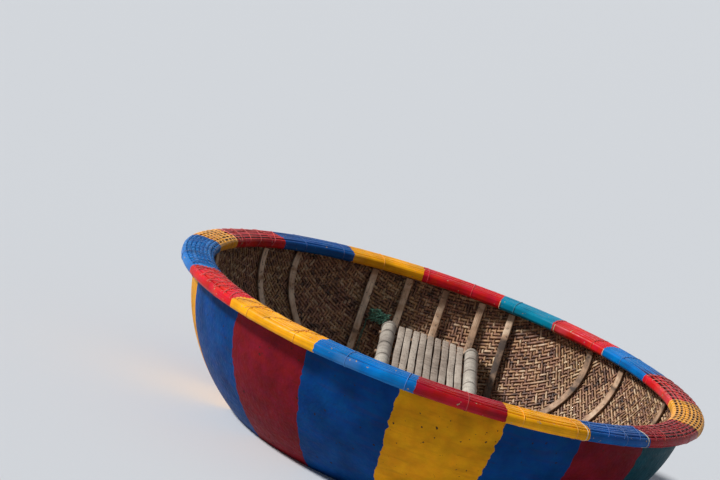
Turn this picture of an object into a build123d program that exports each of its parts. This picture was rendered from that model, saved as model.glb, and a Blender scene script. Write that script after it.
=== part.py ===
from build123d import *
import math
import os
from dataclasses import dataclass

# A round basket boat: a woven bamboo bowl with a painted resin coat outside, a thick rim of bent
# laths lashed together, ribs that cross on the floor and climb the wall, and a bench of slats
# between two bamboo poles that spans the bowl.
# Millimetres. The origin is the middle of the floor's underside, +Z is up, and the bench runs
# along Y. Heights are measured from the underside of the floor.

# Hull: the outside of the coat
HULL_RADIUS = 940.0
RIM_HEIGHT = 610.0  # height of the rim's middle
SIDE_ARC = 500.0  # curve of the upper wall
BILGE_ARC = 700.0  # curve between the wall and the flat floor
COAT_WALL = 4.0
WEAVE_WALL = 10.0

# Clearances
SEAT_GAP = 0.3  # between pieces that rest on each other
LATH_GAP = 0.6  # between neighbouring laths of the rim

# Rim: bent laths outside and inside the hull's edge
LATH_THICKNESS = 14.5
LATH_EDGE = 5.0  # rounding of a lath's long edges
RIM_HALF_HEIGHT = 26.0
EDGE_BELOW_TOP = 2.0  # the hull's edge lies this far under the rim's top
# How much less than the rim's half height each lath reaches up and down, from the hull outwards
# and from the hull inwards
OUTER_LATH_DROPS = (0.0, 0.5, 2.5, 9.0)
INNER_LATH_DROPS = (0.0, 0.5, 1.5)

# Lashing: loops of cord round the rim, open where the hull passes through them
LASHINGS = 60
CORD_THICKNESS = 3.0
CORD_BAND = 7.0

# Ribs: split bamboo, a lower layer along X and an upper layer along Y
RIB_WIDTH = 32.0
RIB_THICKNESS = 12.0
LIFT_ANGLE = 45.0  # the upper layer leaves the lower one's level at this slope of the wall
# Columns: name, place along Y at the rim as a share of the hull's radius, lean towards the middle
# as the rib goes down
CROSS_RIBS = (
    ("far_end", 0.74, 0.21),
    ("far_side", 0.596, 0.15),
    ("far_middle", 0.255, 0.05),
    ("centre", 0.0, 0.0),
    ("near_middle", -0.255, -0.05),
    ("near_side", -0.596, -0.15),
    ("near_end", -0.74, -0.21),
)
# Columns: name, place along X as a multiple of the poles' spread; the poles' ends lie against the
# inner ones
LONG_RIBS = (
    ("left_outer", -1.73),
    ("left_inner", -0.896),
    ("centre", 0.0),
    ("right_inner", 0.896),
    ("right_outer", 1.62),
)

# Bench: slats on round bearers, which pass through two bamboo poles
SEAT_HEIGHT = 400.0  # top of the slats
POLE_RADIUS = 28.0
POLE_SPREAD = 173.0  # from the middle to a pole's axis
POLE_END_CUT = 8.0  # how much of a pole's domed tip is cut away where it lies against the ribs
POLE_ABOVE_SEAT = 14.0
NODE_PITCH = 205.0  # between the swollen joints of a bamboo pole
NODE_SWELL = 1.8
NODE_WIDTH = 14.0
SLAT_THICKNESS = 10.0
SLAT_GAP = 2.6
# One row for each slat, left to right: how much shorter than the longest its far and near end is
SLAT_SHORTER = (
    (4.0, 9.0),
    (0.0, 3.0),
    (7.0, 0.0),
    (3.0, 11.0),
    (10.0, 5.0),
    (5.0, 0.0),
    (0.0, 8.0),
    (6.0, 2.0),
    (12.0, 6.0),
)
BEARER_RADIUS = 11.0
BEARER_PLAY = 0.15
BEARER_OVERHANG = 8.0  # how far a bearer shows outside its pole
BEARER_COUNT = 5
BEARER_FROM_END = 150.0  # from a pole's tip to the nearest bearer

# Ties: cord wound round each pole near its ends
TIE_WIDTH = 24.0
TIE_THICKNESS = 4.5
TIE_FROM_END = 62.0  # from a pole's tip to the middle of its tie


@dataclass(frozen=True)
class Bowl:
    """Half outline of a bowl: flat floor, low arc, and a high arc that meets it without a corner."""

    floor: float
    low_centre: tuple[float, float]
    low_radius: float
    meet_angle: float  # degrees below the horizontal, seen from the arcs' centres
    high_centre: tuple[float, float]
    high_radius: float

    def inset(self, depth):
        """The same bowl, with its surface moved inwards by depth."""
        return Bowl(
            self.floor + depth,
            self.low_centre,
            self.low_radius - depth,
            self.meet_angle,
            self.high_centre,
            self.high_radius - depth,
        )

    def meeting_point(self):
        """Where the two arcs meet, as radius and height."""
        across, down = math.cos(math.radians(self.meet_angle)), math.sin(math.radians(self.meet_angle))
        return (
            self.low_centre[0] + self.low_radius * across,
            self.low_centre[1] - self.low_radius * down,
        )

    def radius_at(self, height):
        """Distance of the surface from the axis at a height below the high arc's centre."""
        low = height < self.meeting_point()[1]
        (centre_radius, centre_height) = self.low_centre if low else self.high_centre
        arc = self.low_radius if low else self.high_radius
        return centre_radius + math.sqrt(arc**2 - (centre_height - height) ** 2)

    def inside(self, top):
        """The closed half section between the axis and the surface, up to the height top."""
        arc_top = min(top, self.high_centre[1])
        rise = math.degrees(math.asin((self.high_centre[1] - arc_top) / self.high_radius))
        outline = [
            Line((0, self.floor), (self.low_centre[0], self.floor)),
            CenterArc(self.low_centre, self.low_radius, 270, 90 - self.meet_angle),
            CenterArc(self.high_centre, self.high_radius, 360 - self.meet_angle, self.meet_angle - rise),
        ]
        edge_radius = self.radius_at(arc_top)
        if top > arc_top:
            outline.append(Line((edge_radius, arc_top), (edge_radius, top)))
        outline.append(Polyline((edge_radius, top), (0, top), (0, self.floor)))
        return Plane.XZ * make_face(outline)


def hull_bowl():
    """The outside of the hull's coat."""
    down = (BILGE_ARC - RIM_HEIGHT) / (BILGE_ARC - SIDE_ARC)
    across = math.sqrt(1 - down**2)
    side_centre = (HULL_RADIUS - SIDE_ARC, RIM_HEIGHT)
    flat_radius = side_centre[0] - (BILGE_ARC - SIDE_ARC) * across
    return Bowl(
        0.0,
        (flat_radius, BILGE_ARC),
        BILGE_ARC,
        math.degrees(math.asin(down)),
        side_centre,
        SIDE_ARC,
    )


HULL = hull_bowl()
WEAVE = HULL.inset(COAT_WALL + SEAT_GAP)
INSIDE = WEAVE.inset(WEAVE_WALL)
CROSS_RIB_BED = INSIDE.inset(SEAT_GAP)
HULL_TOP = RIM_HEIGHT + RIM_HALF_HEIGHT - EDGE_BELOW_TOP
RIB_TOP = RIM_HEIGHT - RIM_HALF_HEIGHT - CORD_THICKNESS - 2 * SEAT_GAP


def long_rib_bed():
    """The surface under the upper ribs: over the lower ribs on the floor, and on the wall at the rim."""
    base = CROSS_RIB_BED.inset(RIB_THICKNESS + SEAT_GAP)
    across, down = math.cos(math.radians(LIFT_ANGLE)), math.sin(math.radians(LIFT_ANGLE))
    at_rim = (CROSS_RIB_BED.radius_at(RIB_TOP), RIB_TOP)
    reach = (at_rim[0] - base.low_centre[0], at_rim[1] - base.low_centre[1])
    along = reach[0] * across - reach[1] * down
    # The high arc's centre lies on the low arc's own line, so that the two meet without a corner
    shift = (reach[0] ** 2 + reach[1] ** 2 - base.low_radius**2) / (2 * (along - base.low_radius))
    centre = (base.low_centre[0] + shift * across, base.low_centre[1] - shift * down)
    return Bowl(
        base.floor, base.low_centre, base.low_radius, LIFT_ANGLE, centre, base.low_radius - shift
    )


LONG_RIB_BED = long_rib_bed()
RIB_FACES = LONG_RIB_BED.inset(RIB_THICKNESS)


def band(bowl, thickness, top):
    """A bowl-shaped wall that lies inside a surface."""
    return revolve(bowl.inside(top) - bowl.inset(thickness).inside(top), Axis.Z)


def slab(width):
    """An upright slab in the plane y = 0, wider and taller than the hull."""
    size = 3 * HULL_RADIUS
    return Box(size, width, size)


def hull():
    """The painted coat and the woven bowl inside it."""
    return {
        "hull_coat": band(HULL, COAT_WALL, HULL_TOP),
        "hull_weave": band(WEAVE, WEAVE_WALL, HULL_TOP),
    }


def lath_places():
    """Name, inner radius and half height of every rim lath."""
    pitch = LATH_THICKNESS + LATH_GAP
    places = []
    for index, drop in enumerate(OUTER_LATH_DROPS):
        inner = HULL_RADIUS + SEAT_GAP + index * pitch
        places.append((f"rim_lath_outer_{index + 1}", inner, RIM_HALF_HEIGHT - drop))
    weave_face = INSIDE.radius_at(RIM_HEIGHT - RIM_HALF_HEIGHT)
    for index, drop in enumerate(INNER_LATH_DROPS):
        inner = weave_face - SEAT_GAP - LATH_THICKNESS - index * pitch
        places.append((f"rim_lath_inner_{index + 1}", inner, RIM_HALF_HEIGHT - drop))
    return places


def lath_block(inner, half_height):
    """A lath's square section, at its place in the rim."""
    middle = (inner + LATH_THICKNESS / 2, RIM_HEIGHT)
    return Pos(*middle) * Rectangle(LATH_THICKNESS, 2 * half_height)


def rim_laths():
    """Every bent lath of the rim, as a closed ring."""
    pieces = {}
    for name, inner, half_height in lath_places():
        block = lath_block(inner, half_height)
        section = fillet(block.vertices(), LATH_EDGE)
        pieces[name] = revolve(Plane.XZ * section, Axis.Z)
    return pieces


def rim_lashing():
    """Cord loops round the rim, each open below where the hull passes through."""
    edges = []
    for _, inner, half_height in lath_places():
        edges += lath_block(inner, half_height).edges()
    bundle = make_hull(edges)
    loop = offset(bundle, SEAT_GAP + CORD_THICKNESS) - offset(bundle, SEAT_GAP)
    slot_outer = HULL_RADIUS + SEAT_GAP
    slot_inner = INSIDE.radius_at(RIM_HEIGHT - RIM_HALF_HEIGHT - CORD_THICKNESS - SEAT_GAP) - SEAT_GAP
    slot_middle = ((slot_outer + slot_inner) / 2, RIM_HEIGHT - RIM_HALF_HEIGHT)
    loop -= Pos(*slot_middle) * Rectangle(slot_outer - slot_inner, RIM_HALF_HEIGHT)
    staple = extrude(Plane.XZ * loop, CORD_BAND / 2, both=True)
    turns = [Rot(0, 0, 360 * number / LASHINGS) * staple for number in range(LASHINGS)]
    return {"rim_lashing": Compound(children=[solid for turn in turns for solid in turn.solids()])}


def ribs():
    """Two crossing layers of ribs that follow the hull's inside."""
    pieces = {}
    lower = band(CROSS_RIB_BED, RIB_THICKNESS, RIB_TOP)
    for name, share, lean in CROSS_RIBS:
        place = Pos(0, share * HULL_RADIUS, RIM_HEIGHT) * Rot(-math.degrees(math.atan(lean)), 0, 0)
        pieces[f"cross_rib_{name}"] = lower & (place * slab(RIB_WIDTH))
    upper = band(LONG_RIB_BED, RIB_THICKNESS, RIB_TOP)
    for name, multiple in LONG_RIBS:
        place = Pos(multiple * POLE_SPREAD, 0, RIM_HEIGHT) * Rot(0, 0, 90)
        pieces[f"long_rib_{name}"] = upper & (place * slab(RIB_WIDTH))
    return pieces


POLE_HEIGHT = SEAT_HEIGHT + POLE_ABOVE_SEAT - POLE_RADIUS
BEARER_HEIGHT = SEAT_HEIGHT - SLAT_THICKNESS - SEAT_GAP - BEARER_RADIUS


def pole_dome_place():
    """How far along Y a pole's domed end is centred, so that its cut tip lies on the ribs' faces."""
    reach = RIB_FACES.inset(POLE_RADIUS + SEAT_GAP - POLE_END_CUT).radius_at(POLE_HEIGHT)
    return math.sqrt(reach**2 - POLE_SPREAD**2)


def pole():
    """A bamboo pole along Y, with domed ends and swollen joints."""
    dome = pole_dome_place()
    side = [(POLE_RADIUS, -dome)]
    joints = int((dome - NODE_WIDTH) / NODE_PITCH)
    for number in range(-joints, joints + 1):
        joint = number * NODE_PITCH
        side.append((POLE_RADIUS, joint - NODE_WIDTH / 2))
        side.append((POLE_RADIUS + NODE_SWELL, joint - NODE_WIDTH / 6))
        side.append((POLE_RADIUS + NODE_SWELL, joint + NODE_WIDTH / 6))
        side.append((POLE_RADIUS, joint + NODE_WIDTH / 2))
    side.append((POLE_RADIUS, dome))
    outline = [
        CenterArc((0, -dome), POLE_RADIUS, 270, 90),
        Polyline(side),
        CenterArc((0, dome), POLE_RADIUS, 0, 90),
        Line((0, dome + POLE_RADIUS), (0, -dome - POLE_RADIUS)),
    ]
    return revolve(make_face(outline), Axis.Y)


def bearer_places():
    """Where the bearers cross the poles, along Y."""
    outermost = pole_dome_place() + POLE_RADIUS - BEARER_FROM_END
    pitch = 2 * outermost / (BEARER_COUNT - 1)
    return [number * pitch - outermost for number in range(BEARER_COUNT)]


def bearer():
    """A round stick across the bench, through both poles."""
    length = 2 * (POLE_SPREAD + POLE_RADIUS + BEARER_OVERHANG)
    return Rot(0, 90, 0) * Cylinder(BEARER_RADIUS, length)


def bearer_hole():
    """The space that a bearer needs in a pole."""
    length = 4 * (POLE_SPREAD + POLE_RADIUS)
    return Rot(0, 90, 0) * Cylinder(BEARER_RADIUS + BEARER_PLAY, length)


def bench():
    """Poles, bearers, slats and the ties at the poles' ends."""
    pieces = {}
    bored = pole()
    for along in bearer_places():
        bored -= Pos(0, along, BEARER_HEIGHT - POLE_HEIGHT) * bearer_hole()
    room_in_ribs = revolve(RIB_FACES.inset(SEAT_GAP).inside(RIM_HEIGHT), Axis.Z)
    for side, place in (("left", -POLE_SPREAD), ("right", POLE_SPREAD)):
        pieces[f"bench_pole_{side}"] = (Pos(place, 0, POLE_HEIGHT) * bored) & room_in_ribs
    for number, along in enumerate(bearer_places(), start=1):
        pieces[f"bench_bearer_{number}"] = Pos(0, along, BEARER_HEIGHT) * bearer()

    room = 2 * (POLE_SPREAD - POLE_RADIUS - max(NODE_SWELL, SEAT_GAP + TIE_THICKNESS))
    pitch = (room - SLAT_GAP) / len(SLAT_SHORTER)
    width = pitch - SLAT_GAP
    slat_base = SEAT_HEIGHT - SLAT_THICKNESS
    for number, (far_short, near_short) in enumerate(SLAT_SHORTER, start=1):
        place = (number - (len(SLAT_SHORTER) + 1) / 2) * pitch
        reach = RIB_FACES.inset(SEAT_GAP).radius_at(slat_base)
        longest = math.sqrt(reach**2 - (abs(place) + width / 2) ** 2)
        far, near = longest - far_short, -longest + near_short
        block = Box(width, far - near, SLAT_THICKNESS)
        centre = Pos(place, (far + near) / 2, slat_base + SLAT_THICKNESS / 2)
        pieces[f"bench_slat_{number}"] = centre * block

    tie = Cylinder(POLE_RADIUS + SEAT_GAP + TIE_THICKNESS, TIE_WIDTH)
    tie -= Cylinder(POLE_RADIUS + SEAT_GAP, TIE_WIDTH)
    tie_place = pole_dome_place() + POLE_RADIUS - TIE_FROM_END
    ties = [
        Pos(x, y, POLE_HEIGHT) * Rot(90, 0, 0) * tie
        for x in (-POLE_SPREAD, POLE_SPREAD)
        for y in (-tie_place, tie_place)
    ]
    pieces["bench_ties"] = Compound(children=[solid for sleeve in ties for solid in sleeve.solids()])
    return pieces


def main():
    """Writes every piece to its own file."""
    os.makedirs("parts", exist_ok=True)
    for group in (hull(), rim_laths(), rim_lashing(), ribs(), bench()):
        for name, shape in group.items():
            export_step(shape, f"parts/{name}.step")


main()
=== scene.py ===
"""Looks of a round basket boat: woven bowl, painted coat, lashed rim, crossing ribs and a slatted bench.

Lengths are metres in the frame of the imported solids: +Z is up, the bench runs along Y, and the
origin is the middle of the floor's underside. Angles are radians, unless a comment says degrees.
"""

import logging
import math
from collections import defaultdict
from collections.abc import Sequence
from dataclasses import dataclass, field, replace
from enum import Enum
from functools import partial

import bpy
import numpy as np
from mathutils import Matrix, Vector
from mathutils.geometry import convex_hull_2d


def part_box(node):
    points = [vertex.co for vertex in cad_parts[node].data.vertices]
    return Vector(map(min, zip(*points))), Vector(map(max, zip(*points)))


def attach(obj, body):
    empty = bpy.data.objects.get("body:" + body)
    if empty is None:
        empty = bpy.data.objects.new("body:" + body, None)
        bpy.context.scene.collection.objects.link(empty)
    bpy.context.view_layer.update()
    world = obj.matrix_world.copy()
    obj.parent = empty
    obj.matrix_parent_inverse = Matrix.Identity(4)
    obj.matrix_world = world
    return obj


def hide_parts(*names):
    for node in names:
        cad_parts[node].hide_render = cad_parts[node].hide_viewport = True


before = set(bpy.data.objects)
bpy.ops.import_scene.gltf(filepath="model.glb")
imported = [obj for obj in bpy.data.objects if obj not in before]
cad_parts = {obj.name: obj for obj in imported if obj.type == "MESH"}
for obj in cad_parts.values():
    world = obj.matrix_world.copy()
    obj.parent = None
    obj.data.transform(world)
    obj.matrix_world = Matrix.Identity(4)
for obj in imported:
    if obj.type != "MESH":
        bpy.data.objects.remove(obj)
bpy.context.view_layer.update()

Array = np.ndarray
Number = float | Array
Random = np.random.Generator
Socket = bpy.types.NodeSocket
Tree = bpy.types.NodeTree
Material = bpy.types.Material
Piece = bpy.types.Object

LOG = logging.getLogger("boat")
BODY = "root"
QUARTER_TURN, HALF_TURN, FULL_TURN = math.pi / 2, math.pi, 2 * math.pi
UP = np.array((0.0, 0.0, 1.0))
MILLIMETRES_A_METRE = 1000.0
# Too short to see, but enough to keep radii in order on an upright wall
EPSILON = 1e-6
# Points at which a bowl's outline is tried
SAMPLES = 4000
# Distance from the axis to the middle of the rim, which turns angles into lengths
RIM_REACH = 0.94
# Between these values lies nearly all of a noise with many details, and of one with few
NOISE_REACH, SOFT_NOISE_REACH = (0.3, 0.7), (0.35, 0.65)
# Between these lies nearly all of a tone and such a noise, added up
TONE_REACH = (0.4, 1.4)


def linear(code: str) -> tuple[float, ...]:
    """Turns an sRGB hex colour into linear light.

    Args:
        code: Colour such as "#c8202a".

    Returns:
        Red, green, blue and an alpha of one.
    """
    channels = [int(code[place : place + 2], 16) / 255 for place in (1, 3, 5)]
    bent = [c / 12.92 if c <= 0.04045 else ((c + 0.055) / 1.055) ** 2.4 for c in channels]
    return (*bent, 1.0)


def per_metre(millimetres: float) -> float:
    """Scale of a pattern whose features lie that many millimetres apart."""
    return MILLIMETRES_A_METRE / millimetres


def add_node(
    tree: Tree, kind: str, inputs: dict | Sequence = (), out: int | str = 0, **settings
) -> Socket | None:
    """Adds a node with its settings and its links or constants.

    Args:
        tree: Node tree that gets the node.
        kind: Blender's name of the node type.
        inputs: A constant, or the output that feeds it, for each input: in order, or by name or number.
        out: Name or number of the output to hand back.
        **settings: Properties of the node itself.

    Returns:
        That output, or None from a node that has none.
    """
    node = tree.nodes.new(kind)
    for name, value in settings.items():
        setattr(node, name, value)
    for key, value in (inputs if isinstance(inputs, dict) else dict(enumerate(inputs))).items():
        if isinstance(value, Socket):
            tree.links.new(value, node.inputs[key])
        else:
            node.inputs[key].default_value = value
    return node.outputs[out] if node.outputs else None


def fill_ramp(row: Socket, stops: Sequence[tuple[float, str]], interpolation: str) -> None:
    """Sets the colours of a ramp.

    Args:
        row: Colour output of the ramp.
        stops: Place from 0 to 1 and colour of each stop, in order.
        interpolation: How the ramp passes from one stop to the next.
    """
    ramp = row.node.color_ramp
    ramp.interpolation = interpolation
    while len(ramp.elements) < len(stops):
        ramp.elements.new(1.0)
    for element, (start, code) in zip(ramp.elements, stops):
        element.position = start
        element.color = linear(code)


def layered(tree: Tree, colour: Socket, layers: Sequence[tuple[Socket, str]]) -> Socket:
    """Lays colours over a colour.

    Args:
        tree: The material's tree.
        colour: The lowest colour.
        layers: How much each layer covers, and its colour.

    Returns:
        The colour that shows.
    """
    for share, code in layers:
        inputs = {0: share, 6: colour, 7: linear(code)}
        colour = add_node(tree, "ShaderNodeMix", inputs, 2, data_type="RGBA")
    return colour


def rows(*columns: Number) -> Array:
    """Points or directions, one row each, from their coordinates."""
    return np.stack(np.broadcast_arrays(*columns), axis=1)


def ring(radius: Number, angle: Number, height: Number) -> Array:
    """Points or directions from their distance from the axis, their angle and their height."""
    return rows(radius * np.cos(angle), radius * np.sin(angle), height)


def hump(place: Array, middle: float, width: float) -> Array:
    """A smooth hump, one high in its middle."""
    return np.exp(-(((place - middle) / width) ** 2))


def smooth_noise(count: int, knots: int, rng: Random, closed: bool = False) -> Array:
    """A gently varying line of random values between -1 and 1.

    Args:
        count: How many values.
        knots: How many random values it passes through.
        rng: Source of the random values.
        closed: Whether the end joins the start.

    Returns:
        The values.
    """
    heights = rng.uniform(-1, 1, knots + 1)
    if closed:
        heights[-1] = heights[0]
    place = np.linspace(0, knots, count, endpoint=not closed)
    left = np.minimum(place.astype(int), knots - 1)
    blend = (1 - np.cos((place - left) * HALF_TURN)) / 2
    return heights[left] * (1 - blend) + heights[left + 1] * blend


def named(prefix: str) -> list[str]:
    """Names of the solids that start with a prefix, in order."""
    return sorted(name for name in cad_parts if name.startswith(prefix))


def box_of(name: str) -> tuple[Array, Array]:
    """Middle and size of a solid's box."""
    low, high = (np.array(corner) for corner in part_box(name))
    return (low + high) / 2, high - low


def stand(name: str, data: bpy.types.ID) -> Piece:
    """Puts a mesh, a lamp or a camera into the scene.

    Args:
        name: Name of its object.
        data: The mesh, lamp or camera.

    Returns:
        The object.
    """
    thing = bpy.data.objects.new(name, data)
    bpy.context.scene.collection.objects.link(thing)
    return thing


def set_attribute(mesh: bpy.types.Mesh, name: str, values: Array) -> None:
    """Writes a number or a vector for each vertex of a mesh.

    Args:
        mesh: Mesh that gets the attribute.
        name: Name of the attribute.
        values: One value, or one row of three, for each vertex.
    """
    kind, key = ("FLOAT", "value") if values.ndim == 1 else ("FLOAT_VECTOR", "vector")
    layer = mesh.attributes.new(name, kind, "POINT")
    layer.data.foreach_set(key, values.astype(np.float32).ravel())


@dataclass(frozen=True)
class Bowl:
    """Half outline of a round bowl: a flat floor, a low arc, a high arc and an upright edge.

    Attributes:
        floor: Height of the floor.
        low_centre: Radius and height of the low arc's centre.
        low_radius: Radius of the low arc.
        turn: Slope where the two arcs meet.
        high_centre: Radius and height of the high arc's centre.
        high_radius: Radius of the high arc.
    """

    floor: float
    low_centre: tuple[float, float]
    low_radius: float
    turn: float
    high_centre: tuple[float, float]
    high_radius: float

    def inset(self, depth: float) -> "Bowl":
        """The bowl whose surface lies deeper inside by depth."""
        low, high = self.low_radius - depth, self.high_radius - depth
        return replace(self, floor=self.floor + depth, low_radius=low, high_radius=high)

    def at_run(self, run: Number) -> tuple[Array, Array, Array]:
        """Follows the surface outwards from the middle of the floor.

        Args:
            run: Distances along the surface.

        Returns:
            Radius, height and slope at each distance.
        """
        low_end = self.low_centre[0] + self.low_radius * self.turn
        high_turn = QUARTER_TURN - self.turn
        low = np.clip((run - self.low_centre[0]) / self.low_radius, 0, self.turn)
        high = np.clip((run - low_end) / self.high_radius, 0, high_turn)
        slope = low + high
        upright = np.maximum(run - low_end - self.high_radius * high_turn, 0)
        radius = np.where(
            high > 0,
            self.high_centre[0] + self.high_radius * np.sin(slope),
            np.minimum(run, self.low_centre[0]) + self.low_radius * np.sin(low),
        )
        height = np.where(
            high > 0,
            self.high_centre[1] - self.high_radius * np.cos(slope),
            self.low_centre[1] - self.low_radius * np.cos(low),
        )
        return radius, height + upright, slope

    def table(self, start: float = 0.0) -> tuple[Array, ...]:
        """Distances along the surface from a start on, with the radius, height and slope at each."""
        runs = np.linspace(start, 3 * self.low_centre[1], SAMPLES)
        return (runs, *self.at_run(runs))

    def run_to_height(self, height: float) -> float:
        """Distance along the surface from the middle of the floor to a height."""
        runs, _, heights, _ = self.table(self.low_centre[0])
        return float(np.interp(height, heights, runs))

    def radius_at(self, height: float) -> float:
        """Distance from the axis to the surface at a height."""
        _, radii, heights, _ = self.table(self.low_centre[0])
        return float(np.interp(height, heights, radii))

    def height_at(self, radius: Array) -> Array:
        """Height of the surface at distances from the axis."""
        runs, radii, heights, _ = self.table()
        return np.interp(radius, radii + EPSILON * runs, heights)

    def inwards_at(self, points: Array) -> Array:
        """Finds the way inwards from the surface.

        Args:
            points: Points near it.

        Returns:
            A unit vector for each.
        """
        runs, radii, _, slopes = self.table()
        slope = np.interp(np.hypot(points[:, 0], points[:, 1]), radii + EPSILON * runs, slopes)
        return ring(-np.sin(slope), np.arctan2(points[:, 1], points[:, 0]), np.cos(slope))

    def place(self, run: Number, angle: Array, lift: Number) -> tuple[Array, Array]:
        """Finds points on or over the inside of the surface, and the way inwards there.

        Args:
            run: Distances along the surface from the middle of the floor.
            angle: Angles round the axis.
            lift: How far each point stands off the surface, inwards.

        Returns:
            Points and unit vectors, one row each.
        """
        radius, height, slope = self.at_run(run)
        inwards = ring(-np.sin(slope), angle, np.cos(slope))
        return ring(radius, angle, height) + inwards * np.reshape(lift, (-1, 1)), inwards


class Profile(Enum):
    """Sections that a line can be swept into."""

    BLADE = "strip with a low ridge along its top"
    BAR = "rectangle with rounded corners"
    ROUND = "circle or oval"


@dataclass(frozen=True)
class Section:
    """Size of a swept section.

    Attributes:
        profile: Kind of section.
        width: Size across the line, along the surface that it lies on.
        thickness: Size across the line, away from that surface.
        corner: Radius of a bar's corners.
        steps: Points on a round section, or on each corner of a bar.
    """

    profile: Profile
    width: float
    thickness: float
    corner: float = 0.0
    steps: int = 3


@dataclass
class GuideLines:
    """Lines that a section is swept along, with what the sweep needs to know at each point.

    Attributes:
        values: Places and attributes, one array for each line.
        edges: Pairs of points that are joined.
        count: Points so far.
    """

    values: dict[str, list[Array]] = field(default_factory=lambda: defaultdict(list))
    edges: list[Array] = field(default_factory=list)
    count: int = 0

    def add(
        self, points: Array, ups: Array, girth: Number = 1.0, tone: Number = 0.5, closed: bool = False
    ) -> None:
        """Adds one line.

        Args:
            points: Points in order.
            ups: The way up of the section, for all points or for each.
            girth: Scale of the section, for all points or for each.
            tone: Value from 0 to 1 that the finish reads as light or dark.
            closed: Whether the last point joins the first.
        """
        values = {"co": points, "girth": girth, "tone": tone, "up": ups, "line": float(len(self.edges))}
        for label, value in values.items():
            shape = points.shape if label in ("co", "up") else len(points)
            self.values[label].append(np.broadcast_to(value, shape))
        order = np.arange(self.count, self.count + len(points))
        pairs = np.stack([order, np.roll(order, -1)], axis=1)
        self.edges.append(pairs if closed else pairs[:-1])
        self.count += len(points)

    def mesh(self, name: str) -> bpy.types.Mesh:
        """Makes the lines a mesh of edges with one attribute for each value.

        Args:
            name: Name of the mesh.

        Returns:
            The mesh.
        """
        values = {label: np.concatenate(value) for label, value in self.values.items()}
        edges = np.concatenate(self.edges)
        mesh = bpy.data.meshes.new(name)
        mesh.vertices.add(self.count)
        mesh.vertices.foreach_set("co", values.pop("co").astype(np.float32).ravel())
        mesh.edges.add(len(edges))
        mesh.edges.foreach_set("vertices", edges.astype(np.int32).ravel())
        for label, value in values.items():
            set_attribute(mesh, label, value)
        return mesh


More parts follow.
